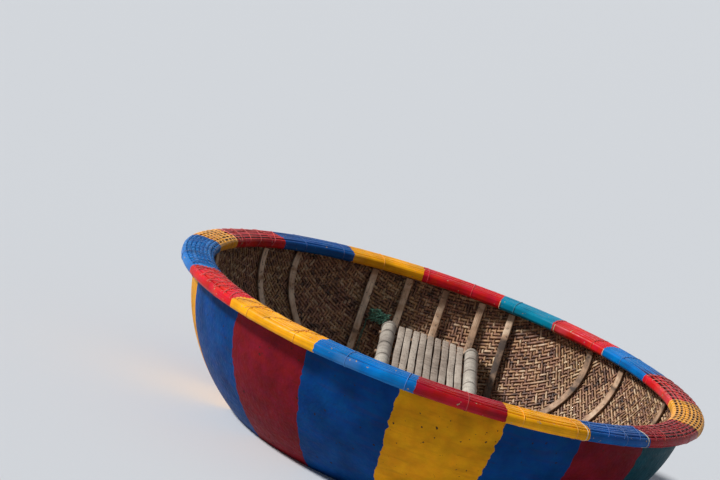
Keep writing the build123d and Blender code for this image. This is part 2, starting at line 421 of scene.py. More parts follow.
class SweepTree:
    """Geometry Nodes that sweep a section along guide lines, and may repeat the result round the axis."""

    SOCKETS = {
        "Guide lines": "Geometry",
        "Width": "Float",
        "Thickness": "Float",
        "Corner": "Float",
        "Turn jitter": "Float",
        "Steps": "Int",
        "Repeats": "Int",
        "Seed": "Int",
        "Finish": "Material",
    }

    def __init__(self, profile: Profile) -> None:
        """Builds the tree for one kind of section.

        Args:
            profile: Kind of section.
        """
        self.tree = bpy.data.node_groups.new(f"Sweep {profile.name.lower()}", "GeometryNodeTree")
        self.tree.is_modifier = True
        self.keys: dict[str, str] = {}
        for label, kind in self.SOCKETS.items():
            socket = self.tree.interface.new_socket(label, in_out="INPUT", socket_type=f"NodeSocket{kind}")
            self.keys[label] = socket.identifier
        self.tree.interface.new_socket("Mesh", in_out="OUTPUT", socket_type="NodeSocketGeometry")
        self.add = partial(add_node, self.tree)
        self.given = self.add("NodeGroupInput").node.outputs
        result = self.add("GeometryNodeSetShadeSmooth", [self.repeated(self.swept(self.outline(profile)))])
        result = self.add("GeometryNodeSetMaterial", {0: result, "Material": self.given["Finish"]})
        self.add("NodeGroupOutput", [result])

    def outline(self, profile: Profile) -> Socket:
        """Draws the section as a closed curve, with its own X pointing up from the surface.

        Args:
            profile: Kind of section.

        Returns:
            The curve, with each point's way round it in metres.
        """
        add, given = self.add, self.given
        if profile is Profile.BAR:
            sides = {"Width": given["Thickness"], "Height": given["Width"]}
            block = add("GeometryNodeCurvePrimitiveQuadrilateral", sides)
            rounding = {0: block, "Count": given["Steps"], "Radius": given["Corner"], "Limit Radius": True}
            curve = add("GeometryNodeFilletCurve", rounding, mode="POLY")
        else:
            # A circle of three points is the blade: its first point is the ridge
            circle = add("GeometryNodeCurvePrimitiveCircle", {"Resolution": given["Steps"], "Radius": 0.5})
            size = add("ShaderNodeCombineXYZ", [given["Thickness"], given["Width"], 1.0])
            curve = add("GeometryNodeTransform", {0: circle, "Scale": size})
        # Counted both ways from below, so that no seam shows
        way = add("GeometryNodeSplineParameter", out="Factor")
        half_round = add("ShaderNodeMath", [given["Width"], given["Thickness"]], operation="ADD")
        chain = (("SUBTRACT", 0.5), ("ABSOLUTE", 0.0), ("MULTIPLY", 2.0), ("MULTIPLY", half_round))
        for operation, other in chain:
            way = add("ShaderNodeMath", [way, other], operation=operation)
        inputs = {0: curve, "Name": "round", "Value": way}
        return add("GeometryNodeStoreNamedAttribute", inputs, data_type="FLOAT")

    def swept(self, outline: Socket) -> Socket:
        """Sweeps the section along every guide line, standing the way its points say.

        Args:
            outline: The section.

        Returns:
            The mesh.
        """
        add = self.add
        up, girth = (
            add("GeometryNodeInputNamedAttribute", {"Name": name}, data_type=kind)
            for name, kind in (("up", "FLOAT_VECTOR"), ("girth", "FLOAT"))
        )
        lines = add("GeometryNodeMeshToCurve", [self.given["Guide lines"]])
        lines = add("GeometryNodeSetCurveNormal", {0: lines, "Normal": up}, mode="FREE")
        travel = add("GeometryNodeSplineParameter", out="Length")
        inputs = {0: lines, "Name": "travel", "Value": travel}
        lines = add("GeometryNodeStoreNamedAttribute", inputs, data_type="FLOAT")
        return add("GeometryNodeCurveToMesh", {0: lines, 1: outline, "Scale": girth, "Fill Caps": True})

    def repeated(self, swept: Socket) -> Socket:
        """Repeats the swept mesh evenly round the axis, with a little disorder.

        Args:
            swept: The mesh.

        Returns:
            All its copies as one mesh.
        """
        add, given = self.add, self.given
        points = add("GeometryNodePoints", {"Count": given["Repeats"]})
        step = add("ShaderNodeMath", [FULL_TURN, given["Repeats"]], operation="DIVIDE")
        even = add("ShaderNodeMath", [add("GeometryNodeInputIndex"), step], operation="MULTIPLY")
        low = add("ShaderNodeMath", [given["Turn jitter"], -1.0], operation="MULTIPLY")
        limits = {2: low, 3: given["Turn jitter"], "Seed": given["Seed"]}
        jitter = add("FunctionNodeRandomValue", limits, 1, data_type="FLOAT")
        turn = add("ShaderNodeMath", [even, jitter], operation="ADD")
        facing = add("FunctionNodeEulerToRotation", [add("ShaderNodeCombineXYZ", [0.0, 0.0, turn])])
        inputs = {0: points, "Instance": swept, "Rotation": facing}
        return add("GeometryNodeRealizeInstances", [add("GeometryNodeInstanceOnPoints", inputs)])


@dataclass(frozen=True)
class Finish:
    """What every finish shares: a named material whose shader gets constants and patterns.

    Attributes:
        name: Name of the material.
        roughness: Roughness of the surface.
        ior: Index of refraction.
        specular: Strength of the gloss.
    """

    name: str
    roughness: float
    ior: float = 1.45
    specular: float = 0.5

    def start(self) -> Tree:
        """Makes the material.

        Returns:
            Its tree, still empty.
        """
        material = bpy.data.materials.new(self.name)
        material.use_nodes = True
        material.node_tree.nodes.clear()
        return material.node_tree

    def shaded(self, tree: Tree, fed: dict[str, Socket]) -> Material:
        """Adds the shader.

        Args:
            tree: The material's tree.
            fed: Inputs of the shader that patterns feed.

        Returns:
            The finished material.
        """
        inputs = {"Roughness": self.roughness, "IOR": self.ior, "Specular IOR Level": self.specular}
        shader = add_node(tree, "ShaderNodeBsdfPrincipled", inputs | fed)
        add_node(tree, "ShaderNodeOutputMaterial", {"Surface": shader})
        return bpy.data.materials[self.name]


@dataclass(frozen=True)
class PaintedSpans(Finish):
    """Alkyd enamel brushed in spans of colour round the boat, on bamboo or on a resin coat.

    It is glossy and thick, its borders waver where the brush stopped, grime and painted shade sit in the
    grooves, and it has chipped down to what lies under it in places. Its palest tones are rubbed thin, and on
    the cords they are also a painted highlight. Sizes of patterns are millimetres. A bristle's mark is 0.3 mm
    wide, too fine to show, so the marks are as coarse as the eye needs.

    Attributes:
        spans: Angle in degrees where each span starts, counter-clockwise, and its colour.
        grime: Colour of the dirt, and of the painted shade in the grooves.
        ground: Colour that shows where the paint is chipped.
        rubbed_and_highlight: Colour that the paint nears where it is rubbed thin, and on the cords as a
            painted highlight.
        chipped: Noise value over which the paint is chipped.
        chip_edge: How far over that value all of it is gone.
        stroke: From one brush mark to the next.
        stroke_length: Length of a brush mark.
        patch: Size of the patches that sun and wear have paled.
        tint: Size of the patches that differ in hue.
        chip: Size of a chip.
        border_wave: Length of the waves along a painted border.
        fading: Brightness of the dullest and the palest patches.
        thinning: How much of that colour the palest tone shows.
        gloss: How much smoother and rougher than its roughness the paint gets.
        deep: Noise values where a brush mark starts to hold dirt, and where it holds most.
        streaky: How much of the dirt's colour the deepest brush marks hold.
        relief: Depth of the brush marks, in metres.
        waver: How far a border strays, as a share of one turn.
        mottle: How far the hue strays from place to place, as a share of the colour circle.
        weave: From one crossing of the weave under the paint to the next, or 0 where none shows.
        swell: How high those crossings stand, in metres.
    """

    spans: tuple[tuple[float, str], ...] = ()
    grime: str = "#3c1512"
    ground: str = "#a98f70"
    rubbed_and_highlight: str = "#f0dccb"
    chipped: float = 0.7
    chip_edge: float = 0.02
    stroke: float = 3.85
    stroke_length: float = 135.0
    patch: float = 90.0
    tint: float = 38.0
    chip: float = 18.0
    border_wave: float = 33.0
    fading: tuple[float, float] = (0.68, 1.16)
    thinning: float = 0.3
    gloss: tuple[float, float] = (0.08, 0.12)
    deep: tuple[float, float] = (0.52, 0.78)
    streaky: float = 0.35
    relief: float = 0.0006
    waver: float = 0.0016
    mottle: float = 0.004
    weave: float = 0.0
    swell: float = 0.0

    def span_colour(self, tree: Tree, place: Socket, angle: Socket) -> Socket:
        """Looks up the span's colour at each angle, with wavering borders.

        Args:
            tree: The material's tree.
            place: The object's own coordinates.
            angle: Angle round the boat.

        Returns:
            The colour.
        """
        add = partial(add_node, tree)
        turn = add("ShaderNodeMapRange", [angle, -HALF_TURN, HALF_TURN])
        waves = {"Vector": place, "Scale": per_metre(self.border_wave), "Detail": 4.0}
        noise = add("ShaderNodeTexNoise", waves)
        shift = add("ShaderNodeMapRange", [noise, 0.0, 1.0, -self.waver, self.waver])
        row = add("ShaderNodeValToRGB", [add("ShaderNodeMath", [turn, shift], operation="ADD")])
        stops = sorted((((degrees + 180.0) % 360.0) / 360.0, code) for degrees, code in self.spans)
        fill_ramp(row, [(0.0, stops[-1][1]), *stops], "CONSTANT")
        return row

    def aged(self, tree: Tree, place: Socket, colour: Socket, strokes: Socket, chips: Socket) -> Socket:
        """Adds patches, streaks, chips, rubbed places with a painted highlight on the cords, and grime with
        painted shade in the grooves.

        Args:
            tree: The material's tree.
            place: The object's own coordinates.
            colour: The fresh paint.
            strokes: Height of the brush marks.
            chips: Where the paint is gone.

        Returns:
            The colour.
        """
        add = partial(add_node, tree)
        patches, tints = (
            add("ShaderNodeTexNoise", {"Vector": place, "Scale": per_metre(size), "Detail": detail})
            for size, detail in ((self.patch, 5.0), (self.tint, 2.0))
        )
        value = add("ShaderNodeMapRange", [patches, *NOISE_REACH, *self.fading])
        hue = add("ShaderNodeMapRange", [tints, *SOFT_NOISE_REACH, 0.5 - self.mottle, 0.5 + self.mottle])
        patched = add("ShaderNodeHueSaturation", {"Hue": hue, "Value": value, "Color": colour})
        # The palest tones get paler paint: rubbed thin, and a painted highlight on the cords. The grooves'
        # attribute lays painted shade with grime.
        tone, groove = (
            add("ShaderNodeAttribute", out="Fac", attribute_name=name) for name in ("tone", "groove")
        )
        streaks = add("ShaderNodeMapRange", [strokes, *self.deep, 0.0, self.streaky])
        paled = add("ShaderNodeMapRange", [tone, 0.5, 1.0, 0.0, self.thinning])
        layers = ((streaks, self.grime), (chips, self.ground), (paled, self.rubbed_and_highlight), (groove, self.grime))
        return layered(tree, patched, layers)

    def relief_normal(self, tree: Tree, strokes: Socket, chips: Socket) -> Socket:
        """Bends the surface along the brush marks, the chips and the weave under the paint.

        Args:
            tree: The material's tree.
            strokes: Height of the brush marks.
            chips: Where the paint is gone.

        Returns:
            The bent normal.
        """
        add = partial(add_node, tree)
        # What is read, how strongly, and how deep it is
        bumps = [(strokes, 0.5, self.relief), (chips, 0.6, -self.relief)]
        if self.weave:
            flat = add("ShaderNodeAttribute", out="Vector", attribute_name="flat")
            crossings = {"Vector": flat, "Scale": per_metre(self.weave), "Detail": 1.0}
            bumps.append((add("ShaderNodeTexNoise", crossings), 1.0, self.swell))
        before = {}
        for height, strength, distance in bumps:
            inputs = {"Height": height, "Strength": strength, "Distance": distance}
            before = {"Normal": add("ShaderNodeBump", inputs | before)}
        return before["Normal"]

    def build(self) -> Material:
        """Makes the material.

        Returns:
            The material.
        """
        tree = self.start()
        add = partial(add_node, tree)
        place = add("ShaderNodeTexCoord", out="Object")
        parts = add("ShaderNodeSeparateXYZ", [place]).node.outputs
        angle = add("ShaderNodeMath", [parts["Y"], parts["X"]], operation="ARCTAN2")
        level = add("ShaderNodeVectorMath", [place, (1.0, 1.0, 0.0)], operation="MULTIPLY")
        radius = add("ShaderNodeVectorMath", [level], "Value", operation="LENGTH")
        rolled = add("ShaderNodeCombineXYZ", [angle, radius, parts["Z"]])
        scale = (per_metre(self.stroke_length) * RIM_REACH, *[per_metre(self.stroke)] * 2)
        stretched = add("ShaderNodeMapping", {"Vector": rolled, "Scale": scale})
        strokes, specks = (
            add("ShaderNodeTexNoise", {"Vector": vector, "Scale": size, "Detail": detail})
            for vector, size, detail in ((stretched, 1.0, 3.0), (place, per_metre(self.chip), 6.0))
        )
        chips = add("ShaderNodeMapRange", [specks, self.chipped, self.chipped + self.chip_edge])
        limits = (self.roughness - self.gloss[0], self.roughness + self.gloss[1])
        dulled = add("ShaderNodeMapRange", [specks, *NOISE_REACH, *limits])
        colour = self.aged(tree, place, self.span_colour(tree, place, angle), strokes, chips)
        normal = self.relief_normal(tree, strokes, chips)
        return self.shaded(tree, {"Base Color": colour, "Roughness": dulled, "Normal": normal})


@dataclass(frozen=True)
class Bamboo(Finish):
    """Split or round bamboo, or cord: long fibres, stretches of several tones, grime, and painted shade on
    faces that stand upright.

    Sizes of patterns are millimetres. Real fibre bundles are 0.4 mm apart, too fine to show, so
    they are as coarse as the eye needs.

    Attributes:
        shades: Colours from the darkest strips to the palest.
        grime: Colour of the dirt, and of the painted shade on faces that stand upright.
        fibre: From one fibre bundle to the next.
        fibre_length: Length of a fibre bundle.
        blotch: Size of the blotches within a strip's tone.
        zone: Size of the zones that differ in hue.
        cloud: Size of the soiled places.
        knot: Size of a knot or stain.
        dirt: Noise value over which there is dirt.
        relief: Depth of the fibres, in metres.
        drift: How far the hue strays from zone to zone, as a share of the colour circle.
        knotty: How dark the knots and stains are.
        sides: How much painted shade, with grime, darkens the faces that stand upright, at the sides of ribs
            and slats and in the gaps between slats.
    """

    shades: tuple[str, ...] = ("#000000", "#ffffff")
    grime: str = "#1c1410"
    fibre: float = 2.4
    fibre_length: float = 80.0
    blotch: float = 26.0
    zone: float = 167.0
    cloud: float = 143.0
    knot: float = 13.3
    dirt: float = 0.58
    relief: float = 0.0005
    drift: float = 0.0
    knotty: float = 0.35
    sides: float = 0.0

    def base(self, tree: Tree, blotches: Socket, zones: Socket) -> Socket:
        """Gives a strip its own colour: its tone picks it from the shades, and blotches shift it.

        Args:
            tree: The material's tree.
            blotches: Noise that shifts the tone.
            zones: Noise that shifts the hue.

        Returns:
            The colour.
        """
        add = partial(add_node, tree)
        tone = add("ShaderNodeAttribute", out="Fac", attribute_name="tone")
        both = add("ShaderNodeMath", [tone, blotches], operation="ADD")
        row = add("ShaderNodeValToRGB", [add("ShaderNodeMapRange", [both, *TONE_REACH])])
        fill_ramp(row, list(zip(np.linspace(0, 1, len(self.shades)), self.shades)), "LINEAR")
        hue = add("ShaderNodeMapRange", [zones, *SOFT_NOISE_REACH, 0.5 - self.drift, 0.5 + self.drift])
        return add("ShaderNodeHueSaturation", {"Hue": hue, "Color": row})

    def fibres(self, tree: Tree) -> Socket:
        """Draws long fibres that follow each strip, lath or cord round its bends.

        Args:
            tree: The material's tree.

        Returns:
            Height of the fibres.
        """
        add = partial(add_node, tree)
        ways = [
            add("ShaderNodeAttribute", out="Fac", attribute_name=name) for name in ("travel", "round", "line")
        ]
        # The last scale only keeps one strip's fibres from lining up with the next one's
        scale = (per_metre(self.fibre_length), per_metre(self.fibre), 7.3)
        stretched = add("ShaderNodeMapping", {"Vector": add("ShaderNodeCombineXYZ", ways), "Scale": scale})
        return add("ShaderNodeTexNoise", {"Vector": stretched, "Scale": 1.0, "Detail": 3.0})

    def build(self) -> Material:
        """Makes the material.

        Returns:
            The material.
        """
        tree = self.start()
        add = partial(add_node, tree)
        place = add("ShaderNodeTexCoord", out="Object")
        blotches, zones, clouds, specks = (
            add("ShaderNodeTexNoise", {"Vector": place, "Scale": per_metre(size), "Detail": detail})
            for size, detail in ((self.blotch, 5.0), (self.zone, 3.0), (self.cloud, 6.0), (self.knot, 3.0))
        )
        fibres = self.fibres(tree)
        up = add("ShaderNodeAttribute", out="Vector", attribute_name="up")
        normal = add("ShaderNodeNewGeometry", out="Normal")
        facing = add("ShaderNodeVectorMath", [up, normal], "Value", operation="DOT_PRODUCT")
        # What is read, from where to where, how much it then covers, and with which colour
        covers = (
            (fibres, 0.5, 0.72, 0.5, self.shades[0]),
            (clouds, self.dirt, self.dirt + 0.2, 0.6, self.grime),
            (specks, 0.6, 0.7, self.knotty, self.grime),
            # Painted shade with grime: faces that stand upright are darker, as in the gaps between slats and
            # beside ribs
            (facing, 0.75, 0.25, self.sides, self.grime),
        )
        layers = [
            (add("ShaderNodeMapRange", [value, start, end, 0.0, most]), code)
            for value, start, end, most, code in covers
        ]
        colour = layered(tree, self.base(tree, blotches, zones), layers)
        bumps = add("ShaderNodeBump", {"Height": fibres, "Strength": 0.6, "Distance": self.relief})
        return self.shaded(tree, {"Base Color": colour, "Normal": bumps})


class Paint(str, Enum):
    """Enamel colours, as sRGB."""

    RED = "#d01c24"
    CRIMSON = "#ab1320"
    DARK_RED = "#a50d1c"
    YELLOW = "#fcab12"
    BLUE = "#04549c"
    SKY = "#006fb9"
    TEAL = "#0484a4"
    # The hull's colours are darker copies of the rim's: painted shade for the hull's wall, which faces down
    # to the water
    SHADED_HULL_BLUE = "#033d79"
    HULL_RED = "#761420"
    SHADED_HULL_YELLOW = "#d9930f"
    SHADED_HULL_TEAL = "#0a4450"


RIM_SPANS = (
    (-158.0, Paint.RED), (-138.5, Paint.YELLOW), (-116.5, Paint.SKY), (-95.0, Paint.CRIMSON),
    (-76.0, Paint.YELLOW), (-58.3, Paint.BLUE), (-41.4, Paint.DARK_RED), (-17.5, Paint.YELLOW),
    (5.5, Paint.RED), (25.1, Paint.SKY), (43.3, Paint.RED), (59.7, Paint.TEAL),
    (75.8, Paint.RED), (97.0, Paint.YELLOW), (116.0, Paint.BLUE), (138.5, Paint.RED),
    (159.0, Paint.YELLOW), (172.5, Paint.SKY),
)
HULL_SPANS = (
    (-162.0, Paint.SHADED_HULL_BLUE), (-139.5, Paint.HULL_RED), (-118.5, Paint.SHADED_HULL_BLUE),
    (-97.5, Paint.SHADED_HULL_YELLOW), (-75.0, Paint.SHADED_HULL_BLUE), (-57.0, Paint.HULL_RED),
    (-37.0, Paint.SHADED_HULL_TEAL), (-14.0, Paint.HULL_RED), (8.0, Paint.SHADED_HULL_BLUE),
    (30.0, Paint.SHADED_HULL_YELLOW), (52.0, Paint.SHADED_HULL_BLUE), (73.0, Paint.HULL_RED),
    (94.0, Paint.SHADED_HULL_TEAL), (116.0, Paint.SHADED_HULL_YELLOW), (138.0, Paint.SHADED_HULL_BLUE),
    (160.0, Paint.HULL_RED), (178.0, Paint.SHADED_HULL_YELLOW),
)
FINISHES = {
    # Alkyd enamel brushed on bent bamboo: thick and glossy, with chips and brush marks
    "rim": PaintedSpans("enamel_on_bamboo", 0.32, specular=0.11, spans=RIM_SPANS, chipped=0.69),
    # Enamel over a resin coat: duller and more worn, with the weave's relief under it, in colours darkened as
    # painted shade
    "hull": PaintedSpans(
        "enamel_on_resin_coat", 0.5, specular=0.06, spans=HULL_SPANS, ground="#2e2420", chipped=0.685,
        stroke=16.7, streaky=0.22, waver=0.0026, weave=14.5, swell=0.0014,
    ),
    # Split bamboo, oiled and stained by smoke: strips of many browns, a little shiny on the skin side
    "weave": Bamboo(
        "split_bamboo_weave", 0.55, shades=("#231712", "#614639", "#966c54", "#b38961", "#d2b493"),
        fibre=2.2, dirt=0.62, drift=0.007,
    ),
    # Split bamboo ribs: paler, dry and fibrous, with painted shade and grime on their sides
    "rib": Bamboo(
        "split_bamboo_rib", 0.7, shades=("#3f2f24", "#b89374", "#efd5b6"), dirt=0.6, relief=0.001,
        knotty=0.8, sides=0.6,
    ),
    # Sun-bleached bamboo slats: grey, with fine cracks along the grain, and painted shade and grime on their
    # sides
    "slat": Bamboo(
        "bleached_bamboo_slat", 0.75, shades=("#54473c", "#9a8a7b", "#bfb09f"), dirt=0.64, knotty=0.8,
        sides=0.9,
    ),
    # Round bamboo with its skin on: grey-brown and slightly waxy
    "pole": Bamboo("round_bamboo", 0.6, shades=("#3e362e", "#988d81", "#c4bbac"), dirt=0.62),
    # Green nylon cord: slightly shiny threads
    "cord": Bamboo(
        "nylon_cord", 0.5, 1.53, shades=("#0d201b", "#1d4a3b", "#63a083"), fibre=1.1, fibre_length=12.0,
        dirt=0.66,
    ),
    # Unpainted rattan cord at the colours' borders: pale cream, dull
    "rattan": Bamboo(
        "rattan_cord", 0.65, shades=("#8a6f4c", "#cdb68c", "#e6d6b4"), fibre=1.1, fibre_length=12.0,
        dirt=0.7,
    ),
}


class Workshop:
    """Turns guide lines and meshes into finished pieces that ride on the boat."""

    def __init__(self) -> None:
        """Prepares every finish, and one sweep tree for each kind of section."""
        self.finishes = {key: finish.build() for key, finish in FINISHES.items()}
        self.trees = {profile: SweepTree(profile) for profile in Profile}

    def sweep(
        self, name: str, lines: GuideLines, section: Section, finish: str,
        repeats: int = 1, jitter: float = 0.0, seed: int = 0,
    ) -> Piece:
        """Sweeps a section along guide lines.

        Args:
            name: Name of the new object.
            lines: Lines to follow.
            section: Size and kind of the section.
            finish: Key of its finish.
            repeats: How many copies stand evenly round the axis.
            jitter: How far each copy may turn from its even place.
            seed: Seed of that disorder.

        Returns:
            A plain mesh object.
        """
        tree = self.trees[section.profile]
        source = stand(f"{name}_guide", lines.mesh(f"{name}_guide"))
        modifier = source.modifiers.new("Sweep", "NODES")
        modifier.node_group = tree.tree
        values = {
            "Width": section.width,
            "Thickness": section.thickness,
            "Corner": section.corner,
            "Steps": section.steps,
            "Repeats": repeats,
            "Turn jitter": jitter,
            "Seed": seed,
            "Finish": self.finishes[finish],
        }
        for label, value in values.items():
            modifier[tree.keys[label]] = value
        graph = bpy.context.evaluated_depsgraph_get()
        mesh = bpy.data.meshes.new_from_object(source.evaluated_get(graph))
        source.modifiers.remove(modifier)
        bpy.data.objects.remove(source)
        mesh.name = name
        return stand(name, mesh)

    def plate(
        self, name: str, points: Array, faces: list[tuple[int, ...]], finish: str, values: dict[str, Array]
    ) -> Piece:
        """Makes an object from points and faces.

        Args:
            name: Name of the new object.
            points: One row for each vertex.
            faces: Vertex numbers of each face, counter-clockwise from outside.
            finish: Key of its finish.
            values: Attributes of the vertices that the finish reads.

        Returns:
            A plain, smooth-shaded mesh object.
        """
        mesh = bpy.data.meshes.new(name)
        mesh.from_pydata(points.tolist(), [], faces)
        mesh.polygons.foreach_set("use_smooth", [True] * len(mesh.polygons))
        mesh.materials.append(self.finishes[finish])
        for label, value in values.items():
            set_attribute(mesh, label, value)
        return stand(name, mesh)

    def deliver(self, piece: Piece, nodes: Sequence[str]) -> None:
        """Lets a finished piece stand for its solids and ride on the boat.

        Args:
            piece: The finished object.
            nodes: Names of the solids that it stands for.
        """
        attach(piece, BODY)
        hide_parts(*nodes)
        triangles = sum(len(polygon.vertices) - 2 for polygon in piece.data.polygons)
        LOG.info("%s: %d triangles, stands for %s", piece.name, triangles, ", ".join(nodes))


@dataclass
class Hull:
    """The woven bowl, its painted coat and its bound edge.

    Attributes:
        side_arc: Radius of the upper wall's arc, outside.
        bilge_arc: Radius of the arc between the wall and the floor, outside.
        coat_wall: Thickness of the coat.
        pitch: From one woven strip to the next.
        strip: Section of a strip.
        rise: How far a strip rises over, or sinks under, the strips that it crosses.
        over: How many strips a strip along X passes over at a time.
        under: How many it then passes under.
        turnover: Place along X beyond which the strips along Y are the ones that pass over more.
        slip_share: Share of the crossings where the weaver went wrong.
        stray: How far a strip strays to the side, as a share of the pitch.
        slimmest: Width of the narrowest strips, as a share of the section's.
        strip_tones: Tones of the darkest and the palest strip.
        patchy: How far a strip's tone changes along it.
        band: Height of the bound edge.
        band_corner: Rounding of its edges, as a share of that.
        rings: Points round the coat.
        levels: Points up the coat.
        seed: Seed of its disorder.
    """

    side_arc: float = 0.500
    bilge_arc: float = 0.700
    coat_wall: float = 0.004
    pitch: float = 0.0145
    strip: Section = Section(Profile.BLADE, 0.0154, 0.0036)
    rise: float = 0.0021
    over: int = 2
    under: int = 1
    turnover: float = 0.60
    slip_share: float = 0.12
    stray: float = 0.07
    slimmest: float = 0.84
    strip_tones: tuple[float, float] = (0.25, 0.75)
    patchy: float = 0.3
    band: float = 0.012
    band_corner: float = 0.45
    rings: int = 220
    levels: int = 64
    seed: int = 11

    def __post_init__(self) -> None:
        """Reads the hull's size from the frame."""
        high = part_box("hull_coat")[1]
        self.radius, self.top = high.x, high.z
        self.rim_height = box_of("rim_lath_outer_1")[0][2]
        self.outside = self.outline()
        low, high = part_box("hull_weave")
        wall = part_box("cross_rib_centre")[0].z - low.z
        self.inside = self.outside.inset(self.radius - high.x + wall)
        self.weave_face = high.x - wall

    def outline(self) -> Bowl:
        """Works out the outside of the coat from its arcs.

        Returns:
            The outline.
        """
        down = (self.bilge_arc - self.rim_height) / (self.bilge_arc - self.side_arc)
        side_centre = (self.radius - self.side_arc, self.rim_height)
        flat = side_centre[0] - (self.bilge_arc - self.side_arc) * math.sqrt(1 - down**2)
        turn = QUARTER_TURN - math.asin(down)
        return Bowl(0.0, (flat, self.bilge_arc), self.bilge_arc, turn, side_centre, self.side_arc)

    def strips(self, across: bool) -> GuideLines:
        """Weaves the centre lines of one family of strips.

        Args:
            across: Whether the strips run along X; the others run along Y.

        Returns:
            The lines, with a tone for each stretch.
        """
        rng = np.random.default_rng(self.seed + 1 + across)
        bed = self.inside.inset(-self.rise - self.strip.thickness / 2)
        reach = bed.run_to_height(self.rim_height)
        period = self.over + self.under
        lines = GuideLines()
        count = int(reach / self.pitch)
        slips = np.random.default_rng(self.seed).random((2 * count, 2 * count)) < self.slip_share
        for row in range(-count, count):
            beside = (row + 0.5) * self.pitch
            cells = int(math.sqrt(max(reach**2 - beside**2, 0.0)) / self.pitch)
            if cells < period:
                continue
            columns = np.arange(-cells, cells)
            along = (columns + 0.5) * self.pitch
            wander = beside + smooth_noise(len(along), knots=12, rng=rng) * self.pitch * self.stray
            first, second = (along, wander) if across else (wander, along)
            run, angle = np.hypot(first, second), np.arctan2(second, first)
            first_cell, second_cell = (columns, row) if across else (row, columns)
            slipped = slips[first_cell + count, second_cell + count]
            over = np.where(first_cell * self.pitch < self.turnover, self.over, self.under)
            on_top = ((first_cell - second_cell) % period < over) ^ slipped ^ (not across)
            points, ups = bed.place(run, angle, np.where(on_top, self.rise, -self.rise))
            # The wall draws the strips together, most where they climb straight up it
            squeeze = bed.at_run(run)[0] / run
            climb, level = (np.cos(angle), np.sin(angle)) if across else (np.sin(angle), np.cos(angle))
            room = squeeze / np.hypot(climb, squeeze * level)
            tone = rng.uniform(*self.strip_tones) + rng.uniform(-self.patchy, self.patchy, len(along))
            lines.add(points, ups, room * rng.uniform(self.slimmest, 1.0), np.clip(tone, 0, 1))
        return lines

    def coat(self, shop: Workshop) -> Piece:
        """Makes the painted coat as a closed shell, dark inside: dark resin and painted shade, seen through
        the gaps between the woven strips.

        Args:
            shop: Where pieces are made.

        Returns:
            The shell.
        """
        edge = self.top - self.band
        inner = self.outside.inset(self.coat_wall)
        outer_runs = np.linspace(0, self.outside.run_to_height(edge), self.levels)[1:]
        inner_runs = np.linspace(inner.run_to_height(edge), 0, self.levels)[:-1]
        angles = np.linspace(0, FULL_TURN, self.rings, endpoint=False)
        points, flats, dark = [np.zeros((1, 3))], [np.zeros((1, 3))], [np.zeros(1)]
        # The inner rows take the grooves' dark colour: dark resin and painted shade in the gaps between the
        # strips over them
        for bowl, runs, darkness in ((self.outside, outer_runs, 0.0), (inner, inner_runs, 1.0)):
            for run in runs:
                points.append(bowl.place(run, angles, 0.0)[0])
                flats.append(ring(run, angles, 0.0))
                dark.append(np.full(self.rings, darkness))
        points.append(np.array([[0.0, 0.0, self.coat_wall]]))
        flats.append(np.zeros((1, 3)))
        dark.append(np.ones(1))
        values = {"flat": np.concatenate(flats), "groove": np.concatenate(dark)}
        return shop.plate("painted_coat", np.concatenate(points), self.coat_faces(), "hull", values)

    def coat_faces(self) -> list[tuple[int, ...]]:
        """Joins the coat's rings, from the middle below to the middle above.

        Returns:
            Vertex numbers of each face.
        """
        faces: list[tuple[int, ...]] = []
        last = 1 + 2 * (self.levels - 1) * self.rings
        top = last - self.rings
        for number in range(self.rings):
            following = (number + 1) % self.rings
            faces.append((0, 1 + following, 1 + number))
            for first in range(1, top, self.rings):
                near, far = first + number, first + following
                faces.append((near, far, far + self.rings, near + self.rings))
            faces.append((top + number, top + following, last))
        return faces

    def edge(self, shop: Workshop) -> Piece:
        """Makes the painted strip of bamboo that binds the bowl's edge between the rim's laths.

        Args:
            shop: Where pieces are made.

        Returns:
            The strip.
        """
        angle = np.linspace(0, FULL_TURN, 2 * self.rings, endpoint=False)
        points = ring((self.radius + self.weave_face) / 2, angle, self.top - self.band / 2)
        lines = GuideLines()
        lines.add(points, ring(1.0, angle, 0.0), closed=True)
        corner = self.band * self.band_corner
        section = Section(Profile.BAR, self.band, self.radius - self.weave_face, corner, 4)
        return shop.sweep("bound_edge", lines, section, "rim")

    def build(self, shop: Workshop) -> None:
        """Makes the bowl, the coat and the edge.

        Args:
            shop: Where pieces are made.
        """
        for name, across in (("strips_across", True), ("strips_along", False)):
            piece = shop.sweep(name, self.strips(across), self.strip, "weave")
            shop.deliver(piece, ["hull_weave"])
        for piece in (self.coat(shop), self.edge(shop)):
            shop.deliver(piece, ["hull_coat"])


@dataclass(frozen=True)
class Binding:
    """A stretch of the rim with cords of its own, or a single turn of cord.

    Attributes:
        start: Angle in degrees where it starts.
        end: Angle in degrees where it ends, counter-clockwise from the start.
        pitch: From one cord to the next, along the rim.
        slant: How far along the rim a cord moves on its way round the laths.
        part: Where on that way it starts and ends, as shares of it from the outside in.
        tone: How pale the cord's paint is: rubbed thin, and a painted highlight.
        girth: How thick the cord is, against the rim's other cord.
    """

    start: float = 0.0
    end: float = 0.0
    pitch: float = 0.0
    slant: float = 0.0
    part: tuple[float, float] = (0.0, 1.0)
    tone: float = 0.75
    girth: float = 1.0


